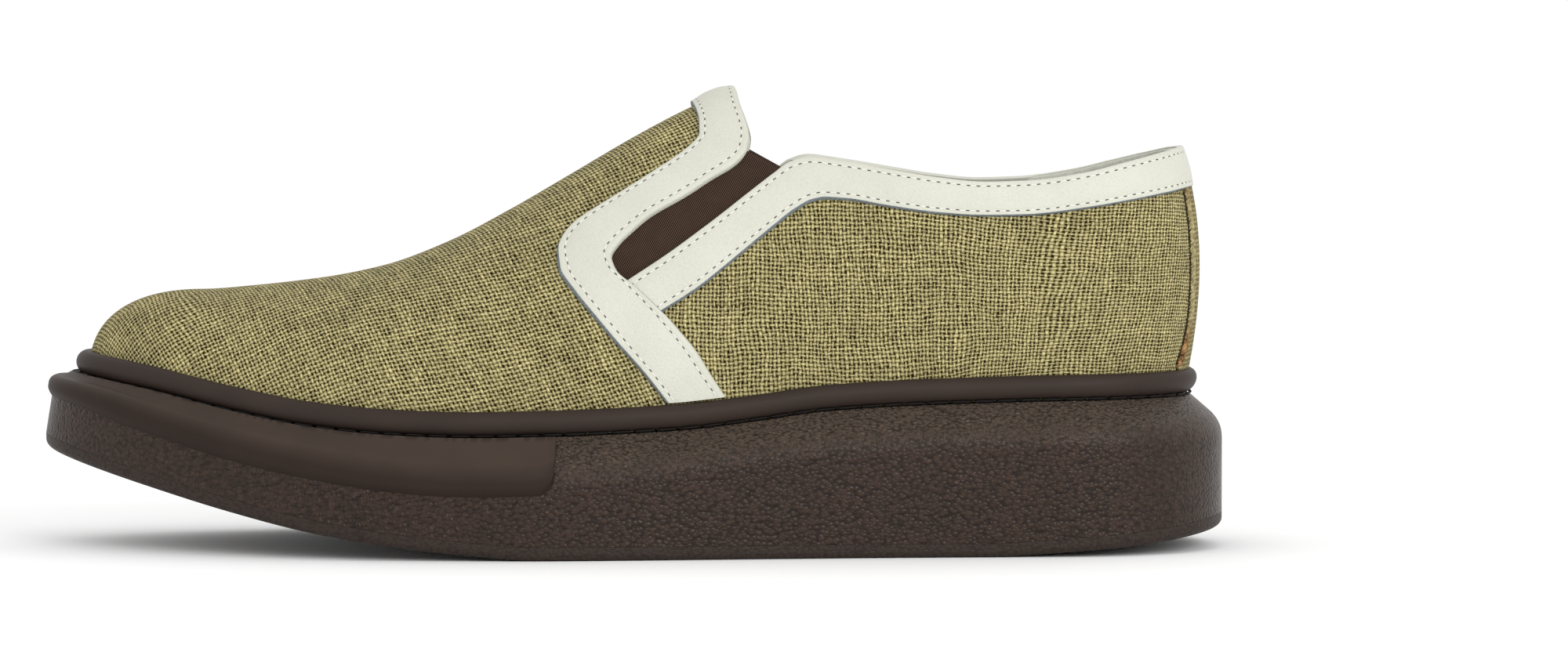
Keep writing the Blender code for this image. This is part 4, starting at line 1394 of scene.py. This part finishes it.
def make_sole_part(name, slot, finish, side_lines, mark=None, values=()):
    """A closed piece swept from toe to heel through the lines of its sides; values are kept as a mark."""
    run = run_at(np.linspace(0, 1, SOLE_ROWS + 1))
    outer, inner = (side_lines(run, side) for side in (OUTER, INNER))
    points = np.stack([*outer, *inner[::-1], outer[0]], 1)
    marks = None
    if mark:
        ring = np.array([*values, *values[::-1], values[0]], float)
        marks = {mark: np.tile(ring, (len(run), 1))}
    add_piece(name, grid_mesh(name, points, marks, closed=True), slot, [finish], name)


def make_midsole(finish):
    """The wedge: its wall, the rounded shoulder and the ledge by the welt; its ledge has the slope mark."""

    def side_lines(run, side):
        low, mid, top = sole_corners(run, side)
        base_x, _ = outline(run, side)
        return [low, *rounded_shoulder(low, mid, top, rounding(base_x)), top]

    slopes = [0, *np.linspace(0, 1, SHOULDER_POINTS), 1]
    make_sole_part("midsole", "midsole_rubber", finish, side_lines, "slope", slopes)


def make_outsole(finish):
    """The bottom layer with its rounded lower edge; its underside has the under mark."""
    arc = np.radians(np.linspace(-90, 0, OUTSOLE_ARC_POINTS))
    heights = [*(OUTSOLE_EDGE * (1 + np.sin(arc))), OUTSOLE_THICK]
    insets = [*(OUTSOLE_EDGE * (1 - np.cos(arc))), 0.0]

    def side_lines(run, side):
        base_x, _ = outline(run, side)
        rows = zip(insets, heights)
        return [sole_line(run, side, foot(base_x) - inset, tread, height) for inset, height in rows]

    underside = [1] + [0] * (len(heights) - 1)
    make_sole_part("outsole", "outsole_rubber", finish, side_lines, "under", underside)


def make_insole(finish):
    """The footbed with its bevelled edge."""
    profile = ((0.0, 0.0), (0.0, INSOLE_THICK - INSOLE_EDGE), (INSOLE_EDGE, INSOLE_THICK))

    def side_lines(run, side):
        return [sole_line(run, side, -INSOLE_INSET - inset, feather, height) for inset, height in profile]

    make_sole_part("insole", "footbed_leather", finish, side_lines)


WELT_ROWS, WELT_POINTS = 420, 14

# Where the welt's round begins below and ends above, in degrees from level
WELT_ARC = (-78, 84)


def make_welt(finish):
    """A half-round roll that follows the foot of the upper all the way round."""
    middle = (WELT_HEIGHT + GAP) / 2
    arc = np.radians(np.linspace(*WELT_ARC, WELT_POINTS))
    arc_reach = WELT_CORE + (WELT_REACH - WELT_CORE) * np.cos(arc)
    arc_rise = middle + (WELT_HEIGHT - middle) * np.sin(arc)
    reach = np.concatenate([arc_reach, [-GAP] * 3, arc_reach[:1]])
    rise = np.concatenate([arc_rise, [WELT_HEIGHT - GAP, middle, GAP], arc_rise[:1]])
    along, index = section_grid(WELT_ROWS, len(reach))
    side, share = both_sides(along)
    run = run_at(share)
    base_x, base_y = outline(run, side)
    grown_x, grown_y = outline(run, side, reach[index])
    wall = upper_point(run, side, turn_at(run, feather(base_x) + rise[index]))
    x, y = wall[..., 0] + grown_x - base_x, wall[..., 1] + grown_y - base_y
    points = np.stack([x, y, feather(grown_x) + rise[index]], -1)
    add_piece("welt", grid_mesh("welt", points, closed=True), "welt_rubber", [finish], "welt")


def welt_groove(along, height):
    """The groove under the welt, round both sides of the shoe."""
    side, share = both_sides(along)
    return sole_line(run_at(share), side, WELT_STITCH_REACH, feather, height)


def make_welt_stitches(finish):
    """Thick dark stitches in the groove under the welt."""
    mesh = stitched("welt_stitches", STITCHES["welt"], welt_groove)
    add_piece("welt_stitches", mesh, "welt_rubber", [finish])


# The bumper's rows and how they crowd at its ends, its surface over the midsole's and its back under it, and
# how much sharper its ridge is; shares along its ledge and its wall where it has points, and its rounded lip
BUMPER_ROWS, BUMPER_CROWDING = 150, 1.3
BUMPER_PROUD, BUMPER_SINK, BUMPER_RIDGE = BUMPER_THICK + GAP, 0.2, 0.7
LEDGE_PARTS = np.linspace(0, 1, 7)
WALL_PARTS = np.linspace(0, 1, 5)[1:]
LIP_TURNS = np.radians(np.linspace(0, 90, 6)[1:])
LIP_RADIUS = 1.1
BUMPER_END_SHARE = BUMPER_END_ROW / RUN_ROWS


def shortened(section, cut):
    """Sections, as lists of points, drawn back from their ends by a cut along their length."""
    points = np.stack(section, 1)
    length = np.linalg.norm(np.diff(points, axis=1), axis=2)
    reached = np.concatenate([np.zeros((len(points), 1)), np.cumsum(length, axis=1)], axis=1)
    rows = np.arange(len(points))
    result = []
    for index in range(points.shape[1]):
        goal = reached[:, index] * (1 - cut / reached[:, -1])
        low = np.clip((reached <= goal[:, None]).sum(1) - 1, 0, length.shape[1] - 1)
        part = ((goal - reached[rows, low]) / length[rows, low])[:, None]
        result.append(points[rows, low] * (1 - part) + points[rows, low + 1] * part)
    return result


def bumper_layer(run, side, extra, short):
    """The bumper's ledge, ridge and wall, set off from the midsole by an extra, with rounded end corners."""
    base_x, _ = outline(run, side)
    inward = np.clip(BUMPER_CORNER - (run_at(BUMPER_END_SHARE) - run), 0, BUMPER_CORNER)
    lift = BUMPER_CORNER - np.sqrt(BUMPER_CORNER**2 - inward**2)
    low, mid, top = sole_corners(run, side, extra)
    edge = between(top, mid, BUMPER_TOP_SHARE)
    ridge_points = rounded_shoulder(low, mid, top, rounding(base_x) * BUMPER_RIDGE)[::-1]
    slope = [between(edge, ridge_points[0], part) for part in LEDGE_PARTS[:-1]]
    end = towards(mid, low, lip(base_x) - short)
    wall = [between(ridge_points[-1], end, part) for part in WALL_PARTS]
    return shortened([*slope, *ridge_points, *wall], lift)


def bumper_section(run, side):
    """Closed sections of the bumper: its face, hollowed along the ledge, its rounded lip and its back."""
    face = bumper_layer(run, side, BUMPER_PROUD, LIP_RADIUS)
    back = bumper_layer(run, side, -BUMPER_SINK, 0.0)
    for index, depth in enumerate(BUMPER_HOLLOW * np.sin(np.pi * LEDGE_PARTS)):
        face[index] = face[index] - np.array([0.0, 0.0, 1.0]) * depth
    start = face[-1]
    down = towards(start, face[-2], -1.0) - start
    inwards = back[-1] - start - down * LIP_RADIUS
    for turn in LIP_TURNS:
        face.append(start + down * LIP_RADIUS * math.sin(turn) + inwards * (1 - math.cos(turn)))
    return np.stack([*face, *back[::-1], face[0]], 1)


def make_toe_bumper(finish):
    """A smooth band round the toe; its ledge has the slope mark, which fades over its ridge."""
    run = run_at(BUMPER_END_SHARE * (1 - (1 - np.linspace(0, 1, BUMPER_ROWS + 1)) ** BUMPER_CROWDING))
    outer, inner = (bumper_section(run, side) for side in (OUTER, INNER))
    points = np.concatenate([outer[::-1], inner[1:]])
    ledge = np.zeros(points.shape[1])
    ledge[: len(LEDGE_PARTS) - 1] = 1
    ledge[len(LEDGE_PARTS) - 1 :][:SHOULDER_POINTS] = np.linspace(1, 0, SHOULDER_POINTS)
    mesh = grid_mesh("toe_bumper", points, {"slope": np.tile(ledge, (len(points), 1))}, closed=True)
    add_piece("toe_bumper", mesh, "bumper_rubber", [finish], "toe_bumper")


# Studio

# The floor's size, and the one light's place, size, power and target, in metres and watts
FLOOR_SIZE = 12.0
KEY_SPOT, KEY_SIZE, KEY_POWER = (0.9, -1.75, 0.75), 0.8, 16.0
KEY_TARGET = (0.0, 0.0, 0.05)
WORLD_STRENGTH = 1.02


def make_floor():
    mesh = bpy.data.meshes.new("floor")
    grid = bmesh.new()
    bmesh.ops.create_grid(grid, x_segments=4, y_segments=4, size=FLOOR_SIZE / 2)
    grid.to_mesh(mesh)
    grid.free()
    mesh.materials.append(floor_finish())
    add_object("floor", mesh)


def make_light():
    lamp = bpy.data.lights.new("key", "AREA")
    lamp.size = KEY_SIZE
    lamp.energy = KEY_POWER
    key = add_object("key", lamp)
    key.location = KEY_SPOT
    way = np.array(KEY_TARGET) - np.array(KEY_SPOT)
    pitch = math.atan2(math.hypot(way[0], way[1]), -way[2])
    key.rotation_euler = (pitch, 0.0, math.atan2(way[1], way[0]) - math.pi / 2)


def make_world():
    world = bpy.data.worlds.new("studio")
    world.use_nodes = True
    sky = world.node_tree.nodes["Background"]
    sky.inputs["Color"].default_value = (1.0, 1.0, 1.0, 1.0)
    sky.inputs["Strength"].default_value = WORLD_STRENGTH
    bpy.context.scene.world = world
    bpy.context.scene.view_settings.view_transform = "Standard"


def make_camera():
    lens = bpy.data.cameras.new("camera")
    lens.sensor_width = SENSOR_WIDTH
    lens.lens = FOCAL_PIXELS / IMAGE_WIDTH * SENSOR_WIDTH
    camera = add_object("camera", lens)
    camera.location = [value * MM for value in CAMERA_SPOT]
    camera.rotation_euler = (math.radians(90 - CAMERA_PITCH), 0.0, 0.0)
    bpy.context.scene.camera = camera


def main():
    make_camera()
    make_floor()
    make_light()
    make_world()
    cloth = [linen("linen", TONES["linen"]), lining()]
    make_vamp(cloth)
    make_quarter(cloth)
    make_backstay(linen("backstay_linen", TONES["tape"]))
    make_fray(fray_finish())
    # Dark beads that paint the shadow along the backstay's edges
    make_backstay_shadow_line(thread_finish("backstay_shadow_thread", roughness=0.95))
    make_throat_trim(leather("throat_leather"))
    make_collar_trim(leather("collar_leather"))
    holes = thread_finish("needle_hole", roughness=0.9)
    make_seams(thread_finish("pale_thread", roughness=0.7), holes)
    make_gore("gore_outer", "gore_elastic_outer", elastic("gore_elastic_outer"), OUTER)
    make_gore("gore_inner", "gore_elastic_inner", elastic("gore_elastic_inner"), INNER)
    make_welt(smooth_rubber("welt_rubber", COLOURS["welt"], COLOURS["welt"]))
    make_welt_stitches(thread_finish("waxed_thread", roughness=0.65))
    make_toe_bumper(smooth_rubber("bumper_rubber", COLOURS["bumper"], COLOURS["bumper_lit_ledge"]))
    make_midsole(pebbled_rubber("midsole_rubber", COLOURS["midsole"], COLOURS["midsole_lit_ledge"]))
    make_outsole(tread_rubber("outsole_rubber", COLOURS["outsole"]))
    make_insole(footbed())


main()
